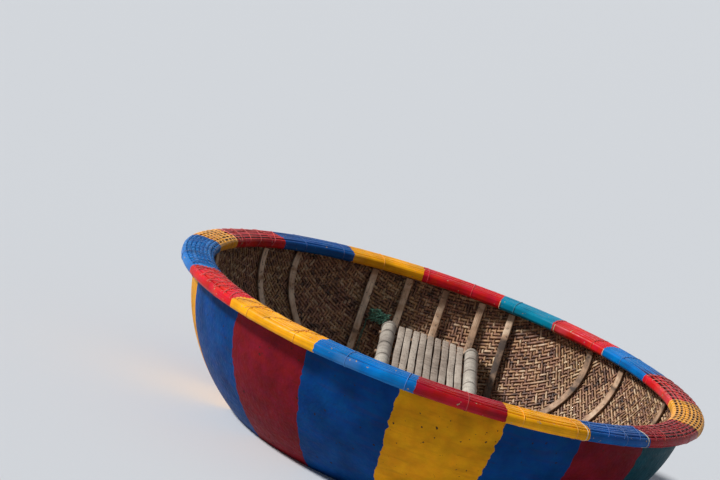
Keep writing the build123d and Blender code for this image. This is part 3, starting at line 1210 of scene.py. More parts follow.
ON_TOP = (0.30, 0.74)
BINDINGS = (
    Binding(-17.5, 6.0, 0.040, tone=0.95, girth=1.6),
    Binding(158.5, 172.5, 0.036, 0.09, tone=0.95, girth=1.4),
    Binding(158.5, 172.5, 0.042, -0.09, ON_TOP, 0.95, 1.4),
    Binding(173.0, 201.5, 0.026, 0.03, ON_TOP, 0.55),
    Binding(173.0, 201.5, 0.052, -0.05, ON_TOP, 0.6),
    Binding(-58.0, -17.5, 0.070, 0.16, ON_TOP, 0.62),
    Binding(-41.0, -17.5, 0.045, -0.12, ON_TOP, 0.62),
    Binding(6.0, 25.0, 0.042, 0.04, ON_TOP, 0.9, 1.5),
    Binding(138.0, 158.0, 0.085, 0.20),
    Binding(-158.0, -138.5, 0.050, 0.16, ON_TOP),
    Binding(-158.0, -138.5, 0.050, -0.16, ON_TOP),
    Binding(-138.5, -117.0, 0.090, 0.20, ON_TOP),
)
# Turns of unpainted cord at some of the colours' borders
OUTSIDE, INSIDE = (0.0, 0.5), (0.74, 1.0)
BORDER_TURNS = ((-58.3, OUTSIDE), (-41.4, OUTSIDE), (43.3, INSIDE), (59.7, INSIDE), (75.8, INSIDE))
# Middle and half width, in degrees, of the stretches where the laths show apart under the paint, with painted
# shade and grime in the gaps between them
OPEN_STRETCHES = ((-4.0, 38.0), (155.0, 21.0))
# The same for the stretch where only the outermost lath stands apart, with painted shade and grime in its gap
EDGE_STRETCH = (78.0, 66.0)


@dataclass
class Rim:
    """The bent laths of the rim and the cord that binds them.

    Attributes:
        hull: The bowl that it edges.
        corner: Rounding of a lath's long edges.
        round_corner: Rounding of the outermost and innermost laths, as a share of their thickness.
        sharpness: How far the section narrows to its outer edge; 1 brings it to a point.
        inner_sharpness: How far it narrows to its inner edge.
        power: How square the rim's section is; 2 makes it an oval.
        points: Points round a lath.
        wobble: How far a lath strays from its circle.
        node_pitch: Between the swollen joints of a lath.
        node_length: Length of a joint, as a share of that.
        swelling: How much wider a lath is at a joint.
        slimness: Width of a lath between its joints, against its section's.
        unevenness: How far that width strays.
        lath_tones: Middle and reach of a lath's tone.
        fade: Degrees over which the painted shade and grime between the laths grow at the ends of a stretch.
        shade_dirt_start: How far from a lath's middle its painted shade and grime start, where the laths are
            shut and apart.
        shade_dirt_blend: How far on they are full.
        shut_shade_dirt: How much of them there is where the laths are shut.
        loops: How many turns of cord stand evenly round the rim.
        loop_jitter: How far each may turn from its even place.
        loop_tone: How pale they are: rubbed thin, and a painted highlight.
        turn_points: Points on each turn.
        arc_points: Points on a circle round a lath's edge, to draw the cord round.
        cord: Section of the cord: flat, painted against the laths.
        proud: How far its middle stands off the laths, as a share of its width.
        cord_jitter: How far a net's cord may stray, as a share of the way to the next.
        seed: Seed of its disorder.
    """

    hull: Hull
    corner: float = 0.0050
    round_corner: float = 0.49
    sharpness: float = 0.95
    inner_sharpness: float = 0.94
    power: float = 2.5
    points: int = 420
    wobble: float = 0.0009
    node_pitch: float = 0.29
    node_length: float = 0.02
    swelling: float = 0.035
    slimness: float = 0.965
    unevenness: float = 0.01
    lath_tones: tuple[float, float] = (0.42, 0.16)
    fade: float = 9.0
    shade_dirt_start: tuple[float, float] = (0.84, 0.36)
    shade_dirt_blend: float = 0.22
    shut_shade_dirt: float = 0.15
    loops: int = 30
    loop_jitter: float = 0.012
    loop_tone: float = 0.62
    turn_points: int = 64
    arc_points: int = 24
    cord: Section = Section(Profile.ROUND, 0.0017, 0.0034, steps=6)
    proud: float = 0.1
    cord_jitter: float = 0.16
    seed: int = 23

    def __post_init__(self) -> None:
        """Reads name, middle radius and thickness of each lath from the frame."""
        self.height = self.hull.rim_height
        self.laths = []
        for name in named("rim_lath_"):
            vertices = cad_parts[name].data.vertices
            inner = min(math.hypot(vertex.co.x, vertex.co.y) for vertex in vertices)
            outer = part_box(name)[1].x
            self.laths.append((name, (inner + outer) / 2, outer - inner))
        self.outer_radius = max(radius + thickness / 2 for _, radius, thickness in self.laths)
        self.inner_radius = min(radius - thickness / 2 for _, radius, thickness in self.laths)
        self.middle = (self.outer_radius + self.inner_radius) / 2
        self.half_height = max(box_of(name)[1][2] for name, *_ in self.laths) / 2
        self.way = self.way_round_laths()

    def reach_at(self, radius: Number) -> Number:
        """Works out how far the rim's rounded section reaches up and down from its middle.

        Args:
            radius: Distances from the axis.

        Returns:
            The reach at each.
        """
        share = (radius - self.middle) / (self.outer_radius - self.middle)
        share = np.maximum(share * self.sharpness, -share * self.inner_sharpness)
        return self.half_height * (1 - np.minimum(share, 1) ** self.power) ** (1 / self.power)

    def lath_corner(self, radius: float, thickness: float) -> float:
        """Rounding of a lath's edges: the outermost and innermost laths are half round."""
        at_edge = abs(radius - self.middle) + thickness > self.outer_radius - self.middle
        return thickness * self.round_corner if at_edge else self.corner

    def lath(self, shop: Workshop, name: str, radius: float, thickness: float) -> Piece:
        """Makes one lath as a closed ring with swollen joints.

        Args:
            shop: Where pieces are made.
            name: Name of its solid.
            radius: Its middle radius.
            thickness: Its thickness.

        Returns:
            The ring.
        """
        rng = np.random.default_rng(self.seed + int(radius * MILLIMETRES_A_METRE))
        noise = partial(smooth_noise, self.points, rng=rng, closed=True)
        angle = np.linspace(0, FULL_TURN, self.points, endpoint=False)
        stray = radius + noise(knots=40) * self.wobble
        points = ring(stray, angle, self.height + noise(knots=34) * self.wobble)
        joints = round(FULL_TURN * radius / self.node_pitch)
        place = (angle / FULL_TURN * joints + rng.uniform(0, 1)) % 1.0
        swollen = self.swelling * hump(place, 0.5, self.node_length)
        girth = self.slimness + swollen + self.unevenness * noise(knots=60)
        tone = self.lath_tones[0] + self.lath_tones[1] * noise(knots=50)
        lines = GuideLines()
        lines.add(points, ring(1.0, angle, 0.0), girth, tone, closed=True)
        corner = self.lath_corner(radius, thickness)
        section = Section(Profile.BAR, 2 * self.reach_at(radius), thickness, corner, 5)
        piece = shop.sweep(name.replace("rim_", ""), lines, section, "rim")
        self.shape(piece, radius, thickness)
        return piece

    def shape(self, piece: Piece, radius: float, thickness: float) -> None:
        """Fits a lath to the rim's rounded section, and writes painted shade and grime on its faces beside
        its neighbours.

        Args:
            piece: The lath.
            radius: Its middle radius.
            thickness: Its thickness.
        """
        places = np.empty(len(piece.data.vertices) * 3, np.float32)
        piece.data.vertices.foreach_get("co", places)
        places = places.reshape(-1, 3)
        distance = np.hypot(places[:, 0], places[:, 1])
        reach = self.reach_at(np.clip(distance, self.inner_radius, self.outer_radius))
        places[:, 2] = self.height + (places[:, 2] - self.height) * (reach / self.reach_at(radius))
        piece.data.vertices.foreach_set("co", places.ravel())
        offset = distance - radius
        bearing = np.degrees(np.arctan2(places[:, 1], places[:, 0]))
        outermost = radius + thickness > self.outer_radius
        apart = np.zeros(len(places))
        for middle, half in OPEN_STRETCHES + ((EDGE_STRETCH,) if outermost else ()):
            away = np.abs((bearing - middle + 180.0) % 360.0 - 180.0)
            apart = np.maximum(apart, np.clip((half - away) / self.fade, 0, 1))
        # Painted shade, with grime, on a lath's faces beside its neighbours: darkest where the laths stand
        # apart, none on the rim's outside and inside faces
        shut, open_start = self.shade_dirt_start
        start = shut + (open_start - shut) * apart
        grime = np.clip((np.abs(offset) / (thickness / 2) - start) / self.shade_dirt_blend, 0, 1)
        grime *= self.shut_shade_dirt + (1 - self.shut_shade_dirt) * apart
        facing_out = outermost & (offset > 0)
        facing_in = (radius - thickness < self.inner_radius) & (offset < 0)
        set_attribute(piece.data, "groove", np.where(facing_out | facing_in, 0, grime))

    def way_round_laths(self) -> tuple[Array, Array]:
        """Draws one turn of cord tight round all the laths.

        Returns:
            Radii and heights, from the hull's outside round to its inside.
        """
        arc = np.linspace(0, FULL_TURN, self.arc_points, endpoint=False)
        circle = rows(np.cos(arc), np.sin(arc))
        skin = []
        for _, radius, thickness in self.laths:
            corner, reach = self.lath_corner(radius, thickness), self.reach_at(radius)
            for side, end in ((-1, -1), (-1, 1), (1, -1), (1, 1)):
                centre = (radius + side * (thickness / 2 - corner), end * (reach - corner))
                edge = centre + corner * circle
                edge[:, 1] *= self.reach_at(edge[:, 0]) / reach
                skin.append(edge)
        proud = (np.concatenate(skin)[:, None] + self.cord.width * self.proud * circle).reshape(-1, 2)
        proud[:, 1] += self.height
        tight = proud[convex_hull_2d(proud.tolist())]
        bearing = np.arctan2(tight[:, 1] - self.height, tight[:, 0] - self.middle)
        tight = tight[np.argsort((bearing + QUARTER_TURN) % FULL_TURN)]
        first, last = self.hull.radius + self.cord.width / 2, self.hull.weave_face - self.cord.width / 2
        low = tight[:, 1].min()
        kept = [row for row in tight if row[1] > low + EPSILON or row[0] > first or row[0] < last]
        corners = np.array([(first, low), *kept, (last, low)])
        travelled = np.concatenate([[0], np.cumsum(np.hypot(*np.diff(corners, axis=0).T))])
        samples = np.linspace(0, travelled[-1], self.turn_points)
        return tuple(np.interp(samples, travelled, column) for column in corners.T)

    def wind(self, lines: GuideLines, angle: float, binding: Binding) -> None:
        """Adds one turn of cord round the laths.

        Args:
            lines: Where it goes.
            angle: Its place round the rim.
            binding: Its slant, part, tone and girth.
        """
        part = binding.part
        share = np.linspace(*part, int(self.turn_points * (part[1] - part[0])))
        steps = np.linspace(0, 1, self.turn_points)
        radii, heights = (np.interp(share, steps, column) for column in self.way)
        turned = angle + binding.slant * (share - 0.5) / self.hull.radius
        ups = rows(-np.sin(turned), np.cos(turned), 0.0)
        lines.add(ring(radii, turned, heights), ups, binding.girth, binding.tone)

    def cords(self, shop: Workshop) -> None:
        """Winds the even turns, the nets of some stretches, and the unpainted turns at borders.

        Args:
            shop: Where pieces are made.
        """
        even, nets, borders = GuideLines(), GuideLines(), GuideLines()
        self.wind(even, 0.0, Binding(tone=self.loop_tone))
        rng = np.random.default_rng(self.seed)
        for binding in BINDINGS:
            width = binding.end - binding.start
            count = round(math.radians(width) * self.hull.radius / binding.pitch)
            for number in range(count):
                share = (number + 0.5 + rng.uniform(-self.cord_jitter, self.cord_jitter)) / count
                self.wind(nets, math.radians(binding.start + share * width), binding)
        for degrees, part in BORDER_TURNS:
            self.wind(borders, math.radians(degrees), Binding(part=part))
        pieces = (
            shop.sweep("cord_loops", even, self.cord, "rim", self.loops, self.loop_jitter, self.seed),
            shop.sweep("cord_nets", nets, self.cord, "rim"),
            shop.sweep("border_cords", borders, self.cord, "rattan"),
        )
        for piece in pieces:
            shop.deliver(piece, ["rim_lashing"])

    def build(self, shop: Workshop) -> None:
        """Makes every lath and the cord.

        Args:
            shop: Where pieces are made.
        """
        for lath in self.laths:
            shop.deliver(self.lath(shop, *lath), [lath[0]])
        self.cords(shop)


@dataclass
class Ribs:
    """Two crossing layers of split bamboo.

    Attributes:
        hull: The bowl that they line.
        section: Section of a rib.
        lift_angle: Slope over which the upper layer leaves the lower one's level.
        leans: How far each rib of the lower layer moves to the side for each metre of height.
        step: Length of one stretch of a rib.
        node_pitch: Between a rib's joints.
        node_length: Length of a joint, as a share of that.
        girths: Width of a rib between its joints against its section's, and how far it strays.
        rib_tones: Tones of the darkest and the palest rib.
        patchy: How far a rib's tone changes along it.
        joint_shade: How much darker a joint is.
        painted_end_shading: Painted shade on the lower layer towards its right end, which the lamp lights,
            and painted light towards its left end, which lies in shade.
        low_darkening: Height up to which a rib of the upper layer is darker.
        low_darkness: How much darker it is there.
        low_dark_blend: Height over which that darkness fades.
        seed: Seed of their disorder.
    """

    hull: Hull
    section: Section = Section(Profile.BAR, 0.031, 0.0115, 0.004, 3)
    lift_angle: float = math.radians(45)
    leans: dict[str, float] = field(
        default_factory=lambda: {
            "far_end": 0.21,
            "far_side": 0.15,
            "far_middle": 0.05,
            "near_middle": -0.05,
            "near_side": -0.15,
            "near_end": -0.21,
        }
    )
    step: float = 0.008
    node_pitch: float = 0.3
    node_length: float = 0.025
    girths: tuple[float, float] = (0.93, 0.035)
    rib_tones: tuple[float, float] = (0.35, 0.75)
    patchy: float = 0.3
    joint_shade: float = 0.5
    painted_end_shading: float = 0.34
    low_darkening: dict[str, float] = field(default_factory=lambda: {"right_outer": 0.505})
    low_darkness: float = 0.8
    low_dark_blend: float = 0.03
    seed: int = 37

    def long_bed(self, top: float) -> Bowl:
        """Fits the surface under the upper layer, which meets the wall at the ribs' tops.

        Args:
            top: Height of the ribs' tops.

        Returns:
            The surface.
        """
        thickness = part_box("long_rib_centre")[0].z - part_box("cross_rib_centre")[0].z
        base = self.hull.inside.inset(thickness)
        across, down = math.sin(self.lift_angle), math.cos(self.lift_angle)
        reach = (self.hull.inside.radius_at(top) - base.low_centre[0], top - base.low_centre[1])
        along = reach[0] * across - reach[1] * down
        shift = (reach[0] ** 2 + reach[1] ** 2 - base.low_radius**2) / (2 * (along - base.low_radius))
        centre = (base.low_centre[0] + shift * across, base.low_centre[1] - shift * down)
        return replace(base, turn=self.lift_angle, high_centre=centre, high_radius=base.low_radius - shift)

    def rib_line(self, bowl: Bowl, top: float, place: float, lean: float) -> Array:
        """Finds the centre line of one rib: where a leaning plane cuts a bowl's surface.

        Args:
            bowl: Surface that its middle follows.
            top: Height where it ends.
            place: Place across at that height.
            lean: How far it moves to the side for each metre of height.

        Returns:
            Points at even steps, as place along, place across and height.
        """
        radii, heights, _ = bowl.at_run(np.linspace(0, bowl.run_to_height(top), SAMPLES))
        across = place + lean * (heights - top)
        met = radii > np.abs(across)
        half = rows(np.sqrt(radii[met] ** 2 - across[met] ** 2), across[met], heights[met])
        line = np.concatenate([half[::-1] * (-1.0, 1.0, 1.0), half])
        travelled = np.concatenate([[0], np.cumsum(np.linalg.norm(np.diff(line, axis=0), axis=1))])
        even = np.linspace(0, travelled[-1], int(travelled[-1] / self.step))
        return rows(*(np.interp(even, travelled, column) for column in line.T))

    def rib(self, lines: GuideLines, bowl: Bowl, points: Array, rng: Random, shade: Number) -> None:
        """Adds one rib with its joints, its uneven width and its own tone.

        Args:
            lines: Where it goes.
            bowl: Surface that its middle follows.
            points: Its centre line.
            rng: Source of its disorder.
            shade: How much darker it is at each point.
        """
        count = len(points)
        place = (np.arange(count) * self.step / self.node_pitch + rng.uniform()) % 1.0
        joint = hump(place, 0.5, self.node_length)
        slim, uneven = self.girths
        girth = slim + (1 - slim) * joint + uneven * smooth_noise(count, knots=50, rng=rng)
        tone = rng.uniform(*self.rib_tones) + self.patchy * smooth_noise(count, knots=40, rng=rng)
        lines.add(points, bowl.inwards_at(points), girth, tone - self.joint_shade * joint - shade)

    def build(self, shop: Workshop) -> None:
        """Makes both layers.

        Args:
            shop: Where pieces are made.
        """
        rng = np.random.default_rng(self.seed)
        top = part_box("cross_rib_centre")[1].z
        layers = (
            ("ribs_across", "cross_rib_", self.hull.inside, True),
            ("ribs_along", "long_rib_", self.long_bed(top), False),
        )
        for piece, prefix, surface, lower in layers:
            bed = surface.inset(self.section.thickness / 2)
            lines, nodes = GuideLines(), named(prefix)
            for node in nodes:
                label = node.removeprefix(prefix)
                middle, size = box_of(node)
                place = middle[1] if lower else middle[0]
                if lower and abs(place) > self.section.width:
                    # A leaning rib is furthest out at its top
                    place += math.copysign((size[1] - self.section.width) / 2, place)
                line = self.rib_line(bed, top, place, self.leans.get(label, 0.0) if lower else 0.0)
                # A rib of the upper layer named in the table is darker below its height
                depth = self.low_darkening.get(label, 0.0) - line[:, 2]
                low_darkening = self.low_darkness * np.clip(depth / self.low_dark_blend, 0, 1)
                # The lower layer gets painted shade towards its lit right end and painted light towards its
                # shaded left end
                shade = self.painted_end_shading * line[:, 0] / self.hull.radius if lower else low_darkening
                self.rib(lines, bed, line if lower else line[:, [1, 0, 2]], rng, shade)
            shop.deliver(shop.sweep(piece, lines, self.section, "rib"), nodes)


@dataclass
class Bench:
    """Slats on bearers between two bamboo poles.

    Attributes:
        hull: The bowl that it spans.
        slat_corner: Rounding of a slat's edges.
        slat_points: Points along a slat.
        slat_strays: How far a slat strays to the side, and up and down.
        slat_end: Length over which a slat's end is rounded.
        slat_girths: Width of a slat's very end and of the rest, against its section's, and its unevenness.
        slat_tones: Tones of the darkest and the palest slat.
        patchy: How far a slat's tone changes along it.
        pole_points: Points along a pole.
        node_pitch: Between a pole's joints.
        swelling: How much a pole swells at a joint.
        ridge: Length of a joint's ridge, as a share of that pitch.
        skirt: Height of the gentle swelling round it, as a share of the ridge's, and its length.
        scar: How much darker a pole is beside a joint, and where on the pitch and over what share of it.
        pole_girths: Width of a pole between its joints, against its box, and how far it strays.
        pole_tones: Middle and reach of a pole's tone.
        darkest: Lowest tone of a pole.
        tip: Width of a pole's very end, against the rest.
        bearer_points: Points along a bearer.
        bearer_end: Length over which a bearer's end is rounded.
        bearer_girths: The same for a bearer.
        bearer_least: Share of the rounding's length that its very end leaves out.
        bearer_tones: Tones of the darkest and the palest bearer.
        tie_turns: Turns of cord in one tie.
        tie_points: Points on one turn.
        tie_width: Length of pole that a tie covers.
        tie_snug: Radius of its turns, against half of the pole's box.
        tie_strays: How far they stray along the pole, and off it.
        tie_cord: Section of that cord.
        tie_tone: How pale the ties are.
        loose_cord: Section of the tangled cord.
        strands: Lengths of cord in the tangle.
        strand_points: Points on each of them.
        strand_girths: Girth of the thinnest and the thickest strand.
        strand_tones: Tones of the darkest and the palest strand.
        tangle_place: From the pole to it, as a share of the gap to the rib, and from the pole's end to it.
        tangle_reach: How far it reaches to the side, as a share of that gap, along the pole, and up.
        hanging: Strands that hang down beside the rib.
        hang_gaps: From the rib to the first of them, on to the next, and how far each strays.
        hang_ends: From the pole's end to the two ends of a strand, along the pole.
        hang_lift: How far they hang off the weave.
        hang_girth: How thick they are, against the section.
        hang_tones: Tones of the darkest and the palest of them.
        seed: Seed of its disorder.
    """

    hull: Hull
    slat_corner: float = 0.0022
    slat_points: int = 90
    slat_strays: tuple[float, float] = (0.0015, 0.0006)
    slat_end: float = 0.006
    slat_girths: tuple[float, float, float] = (0.9, 0.93, 0.05)
    slat_tones: tuple[float, float] = (0.25, 0.8)
    patchy: float = 0.2
    pole_points: int = 700
    node_pitch: float = 0.205
    swelling: float = 0.06
    ridge: float = 0.02
    skirt: tuple[float, float] = (0.35, 0.07)
    scar: tuple[float, float, float] = (1.2, 0.54, 0.05)
    pole_girths: tuple[float, float] = (0.93, 0.008)
    pole_tones: tuple[float, float] = (0.6, 0.25)
    darkest: float = -0.6
    tip: float = 0.02
    bearer_points: int = 40
    bearer_end: float = 0.004
    bearer_girths: tuple[float, float, float] = (0.8, 0.96, 0.03)
    bearer_least: float = 0.1
    bearer_tones: tuple[float, float] = (-0.1, 0.3)
    tie_turns: int = 7
    tie_points: int = 24
    tie_width: float = 0.022
    tie_snug: float = 0.96
    tie_strays: tuple[float, float] = (0.0012, 0.0016)
    tie_cord: Section = Section(Profile.ROUND, 0.0030, 0.0030, steps=7)
    tie_tone: float = 0.35
    loose_cord: Section = Section(Profile.ROUND, 0.0034, 0.0034, steps=6)
    strands: int = 12
    strand_points: int = 90
    strand_girths: tuple[float, float] = (0.6, 1.0)
    strand_tones: tuple[float, float] = (0.25, 0.8)
    tangle_place: tuple[float, float] = (0.3, 0.030)
    tangle_reach: tuple[float, float, float] = (0.55, 0.018, 0.030)
    hanging: int = 2
    hang_gaps: tuple[float, float, float] = (0.010, 0.007, 0.004)
    hang_ends: tuple[float, float] = (0.005, 0.14)
    hang_lift: float = 0.005
    hang_girth: float = 0.9
    hang_tones: tuple[float, float] = (0.4, 0.8)
    seed: int = 51

    def slats(self) -> tuple[GuideLines, Section]:
        """Lays the sawn slats, a little bowed and uneven.

        Returns:
            Their centre lines and their section.
        """
        rng = np.random.default_rng(self.seed)
        noise = partial(smooth_noise, self.slat_points, rng=rng)
        lines = GuideLines()
        for node in named("bench_slat_"):
            (x, y, z), (width, length, thickness) = box_of(node)
            along = np.linspace(-length / 2, length / 2, self.slat_points)
            side, up = self.slat_strays
            points = rows(x + side * noise(knots=7), y + along, z + up * noise(knots=6))
            ends = np.clip((length / 2 - np.abs(along)) / self.slat_end, 0, 1)
            blunt, slim, uneven = self.slat_girths
            girth = (blunt + (1 - blunt) * np.sqrt(ends)) * (slim + uneven * noise(knots=14))
            tone = np.clip(rng.uniform(*self.slat_tones) + self.patchy * noise(knots=12), 0, 1)
            lines.add(points, UP, girth, tone)
        return lines, Section(Profile.BAR, width, thickness, self.slat_corner, 2)

    def pole(self, node: str, rng: Random) -> tuple[GuideLines, Section]:
        """Lays one pole of round bamboo with domed ends and swollen joints.

        Args:
            node: Its solid.
            rng: Source of its disorder.

        Returns:
            Its centre line and its section.
        """
        (x, y, z), (_, length, thickness) = box_of(node)
        noise = partial(smooth_noise, self.pole_points, rng=rng)
        # Points crowd at both ends, where the domes need them
        along = np.sin(np.linspace(-QUARTER_TURN, QUARTER_TURN, self.pole_points)) * length / 2
        place = (along / self.node_pitch + 0.5) % 1.0
        rise, length_round = self.skirt
        joint = hump(place, 0.5, self.ridge) + rise * hump(place, 0.5, length_round)
        slim, uneven = self.pole_girths
        body = slim + self.swelling * joint + uneven * noise(knots=12)
        from_end = np.clip((length - 2 * np.abs(along)) / thickness, 0, 1)
        dome = np.sqrt(np.clip(1 - (1 - from_end) ** 2, self.tip**2, 1))
        (middle, reach), (depth, *where) = self.pole_tones, self.scar
        tone = np.clip(middle + reach * noise(knots=9) - depth * hump(place, *where), self.darkest, 1)
        lines = GuideLines()
        lines.add(rows(x, y + along, z), UP, body * dome, tone)
        return lines, Section(Profile.ROUND, thickness, thickness, steps=36)

    def bearers(self) -> tuple[GuideLines, Section]:
        """Lays the thin round sticks through the poles.

        Returns:
            Their centre lines and their section.
        """
        rng = np.random.default_rng(self.seed + 2)
        lines = GuideLines()
        for node in named("bench_bearer_"):
            (x, y, z), (length, _, thickness) = box_of(node)
            along = np.linspace(-length / 2, length / 2, self.bearer_points)
            ends = np.clip((length / 2 - np.abs(along)) / self.bearer_end, self.bearer_least, 1)
            blunt, slim, uneven = self.bearer_girths
            body = slim + uneven * smooth_noise(self.bearer_points, knots=6, rng=rng)
            girth = (blunt + (1 - blunt) * np.sqrt(ends)) * body
            lines.add(rows(x + along, y, z), UP, girth, rng.uniform(*self.bearer_tones))
        return lines, Section(Profile.ROUND, thickness, thickness, steps=14)

    def ties(self) -> GuideLines:
        """Winds cord round each pole near its ends.

        Returns:
            Its centre lines.
        """
        rng = np.random.default_rng(self.seed + 3)
        high, (*_, thickness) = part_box("bench_ties")[1], box_of("bench_ties")[1]
        (*_, height), (*_, across) = box_of("bench_pole_left")
        count = self.tie_points * self.tie_turns
        turn = np.linspace(0, FULL_TURN * self.tie_turns, count)
        noise = partial(smooth_noise, count, rng=rng)
        along, off = self.tie_strays
        lines = GuideLines()
        for side, end in ((-1, -1), (-1, 1), (1, -1), (1, 1)):
            drift = np.linspace(-0.5, 0.5, count) * self.tie_width + along * noise(knots=22)
            out = across / 2 * self.tie_snug + off * np.abs(noise(knots=30))
            x, y = side * (high.x - thickness / 2), end * (high.y - self.tie_width / 2)
            points = rows(x + out * np.cos(turn), y + drift, height + out * np.sin(turn))
            lines.add(points, rows(np.cos(turn), 0.0, np.sin(turn)), 1.0, self.tie_tone)
        return lines

    def tangle(self) -> GuideLines:
        """Tangles loose cord between the left pole's far end and the rib beside it, with strands that hang.

        Returns:
            Its centre lines.
        """
        rng = np.random.default_rng(self.seed + 4)
        noise = partial(smooth_noise, self.strand_points, rng=rng)
        low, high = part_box("bench_pole_left")
        rib_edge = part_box("long_rib_left_outer")[1].x
        gap = low.x - rib_edge
        share, from_end = self.tangle_place
        centre = np.array([low.x - share * gap, high.y - from_end, high.z])
        reach = np.array(self.tangle_reach) * (gap, 1.0, 1.0)
        lines = GuideLines()
        for _ in range(self.strands):
            drift = rows(*(noise(knots=9) for _ in range(3)))
            girth, tone = rng.uniform(*self.strand_girths), rng.uniform(*self.strand_tones)
            lines.add(centre + drift * reach, UP, girth, tone)
        first, apart, stray = self.hang_gaps
        for number in range(self.hanging):
            x = rib_edge + first + apart * number + stray * noise(knots=8)
            y = high.y - np.linspace(*self.hang_ends, self.strand_points)
            points = rows(x, y, self.hull.inside.height_at(np.hypot(y, x)) + self.hang_lift)
            lines.add(points, UP, self.hang_girth, rng.uniform(*self.hang_tones))
        return lines

    def build(self, shop: Workshop) -> None:
        """Makes the whole bench.

        Args:
            shop: Where pieces are made.
        """
        shop.deliver(shop.sweep("slats", *self.slats(), "slat"), named("bench_slat_"))
        rng = np.random.default_rng(self.seed + 1)
        for node in named("bench_pole_"):
            piece = shop.sweep(node.replace("bench_", ""), *self.pole(node, rng), "pole")
            shop.deliver(piece, [node])
        shop.deliver(shop.sweep("bearers", *self.bearers(), "rib"), named("bench_bearer_"))
        cords = (
            ("pole_ties", self.ties(), self.tie_cord, "pole"),
            ("cord_tangle", self.tangle(), self.loose_cord, "cord"),
        )
        for row in cords:
            shop.deliver(shop.sweep(*row), ["bench_ties"])


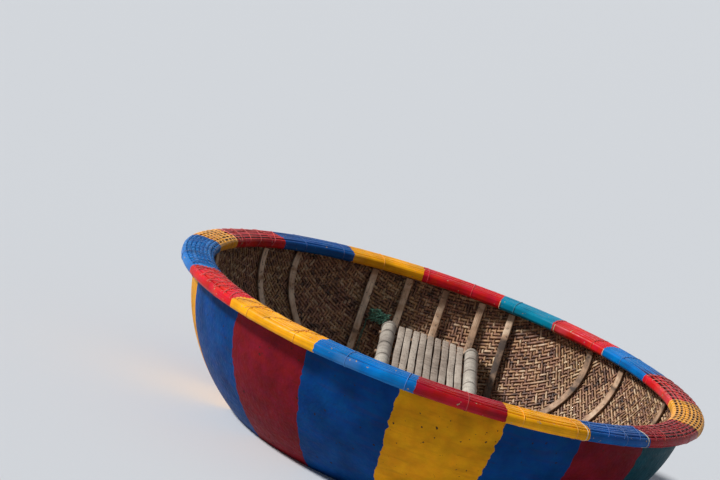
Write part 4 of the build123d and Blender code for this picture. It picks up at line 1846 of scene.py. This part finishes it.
@dataclass
class Studio:
    """Camera, lamp, floor and world.

    Attributes:
        azimuth: Where the camera stands round the boat, 0 looking along +Y.
        elevation: How far it looks down on the rim's middle before it turns.
        distance: From the rim's middle.
        turn: Turn of the view to the side.
        nod: Turn of the view up or down.
        roll: Roll of the view; the boat heels in the picture.
        focal_pixels: Focal length in pixels of the picture.
        picture_width: Width of the picture in pixels.
        sensor: Width of the sensor in millimetres.
        waterline: Height of the floor, where the water stands with one person aboard.
        floor_reach: Radius of the floor.
        floor_shade: Colour of the floor.
        floor_roughness: Its roughness.
        background: Colour that shows behind the boat, and in its gloss.
        sky: Colour of the light from all round.
        sky_strength: Strength of that light.
        sun_from: The way from the boat to the lamp.
        sun_strength: Power of the lamp on a square metre.
        sun_spread: Angle that the lamp fills, which softens its shadows.
    """

    azimuth: float = math.radians(-2.6)
    elevation: float = 0.207264
    distance: float = 8.69697
    turn: float = -0.0457557
    nod: float = -0.0246993
    roll: float = -0.337345
    focal_pixels: float = 2376.975
    picture_width: float = 720.0
    sensor: float = 36.0
    waterline: float = 0.13
    floor_reach: float = 200.0
    floor_shade: str = "#d3d5d7"
    floor_roughness: float = 0.9
    background: str = "#dfe1e3"
    sky: str = "#d6e3f7"
    sky_strength: float = 0.21
    sun_from: tuple[float, float, float] = (-0.74, -0.14, 0.62)
    sun_strength: float = 4.0
    sun_spread: float = 0.14

    def camera(self, centre: Vector) -> None:
        """Sets the camera at the photograph's viewing angle.

        Args:
            centre: Middle of the rim.
        """
        sine, cosine = math.sin(self.elevation), math.cos(self.elevation)
        right, up, back = Vector((1, 0, 0)), Vector((0, sine, cosine)), Vector((0, -cosine, sine))
        turns = Matrix.Rotation(self.roll, 3, "Z") @ Matrix.Rotation(self.nod, 3, "X")
        turns = turns @ Matrix.Rotation(self.turn, 3, "Y")
        around = Matrix.Rotation(self.azimuth, 3, "Z")
        facing = around @ (turns @ Matrix((right, up, back))).transposed()
        data = bpy.data.cameras.new("camera")
        data.sensor_width = self.sensor
        data.lens = self.focal_pixels / self.picture_width * self.sensor
        camera = stand("camera", data)
        camera.matrix_world = Matrix.Translation(centre + around @ (back * self.distance)) @ facing.to_4x4()
        bpy.context.scene.camera = camera

    def sun(self) -> None:
        """Adds a soft distant lamp."""
        data = bpy.data.lights.new("key", "SUN")
        data.energy, data.angle = self.sun_strength, self.sun_spread
        stand("key", data).rotation_euler = Vector(self.sun_from).to_track_quat("Z", "Y").to_euler()

    def world(self) -> None:
        """Lights the scene from all round, and shows the background to the eye and in gloss."""
        bpy.context.scene.world = world = bpy.data.worlds.new("world")
        world.use_nodes = True
        world.node_tree.nodes.clear()
        add = partial(add_node, world.node_tree)
        rays = add("ShaderNodeLightPath").node.outputs
        light, shown = (
            add("ShaderNodeBackground", {"Color": linear(code), "Strength": strength})
            for code, strength in ((self.sky, self.sky_strength), (self.background, 1.0))
        )
        inputs = [rays["Is Glossy Ray"], rays["Is Transmission Ray"]]
        mirrored = add("ShaderNodeMath", inputs, operation="MAXIMUM")
        seen = add("ShaderNodeMath", [rays["Is Camera Ray"], mirrored], operation="MAXIMUM")
        add("ShaderNodeOutputWorld", [add("ShaderNodeMixShader", [seen, light, shown])])

    def floor(self, hull: Hull) -> None:
        """Lays a wide plain floor at the waterline, which ends within the hull's wall.

        Args:
            hull: The hull that stands in it.
        """
        level = hull.outside.inset(hull.coat_wall / 2)
        near = float(level.at_run(level.run_to_height(self.waterline))[0])
        angles = np.linspace(0, FULL_TURN, hull.rings, endpoint=False)
        points = np.concatenate([ring(near, angles, 0.0), ring(self.floor_reach, angles, 0.0)])
        points[:, 2] = self.waterline
        following = np.roll(np.arange(hull.rings), -1)
        faces = [(n, n + hull.rings, f + hull.rings, f) for n, f in enumerate(following.tolist())]
        mesh = bpy.data.meshes.new("floor")
        mesh.from_pydata(points.tolist(), [], faces)
        # Matt painted floor: pale and even
        material = bpy.data.materials.new("matt_floor")
        material.use_nodes = True
        shader = material.node_tree.nodes["Principled BSDF"]
        shader.inputs["Base Color"].default_value = linear(self.floor_shade)
        shader.inputs["Roughness"].default_value = self.floor_roughness
        mesh.materials.append(material)
        stand("floor", mesh)

    def build(self, hull: Hull) -> None:
        """Sets up everything round the boat.

        Args:
            hull: The hull that stands in the floor.
        """
        bpy.context.scene.view_settings.view_transform = "Standard"
        self.camera(Vector((0, 0, hull.rim_height)))
        self.world()
        self.floor(hull)
        self.sun()


def main() -> None:
    """Builds the boat and the studio round it."""
    logging.basicConfig(level=logging.INFO, format="%(name)s: %(message)s")
    hull = Hull()
    Studio().build(hull)
    shop = Workshop()
    for assembly in (hull, Rim(hull), Ribs(hull), Bench(hull)):
        assembly.build(shop)


if __name__ == "__main__":
    main()
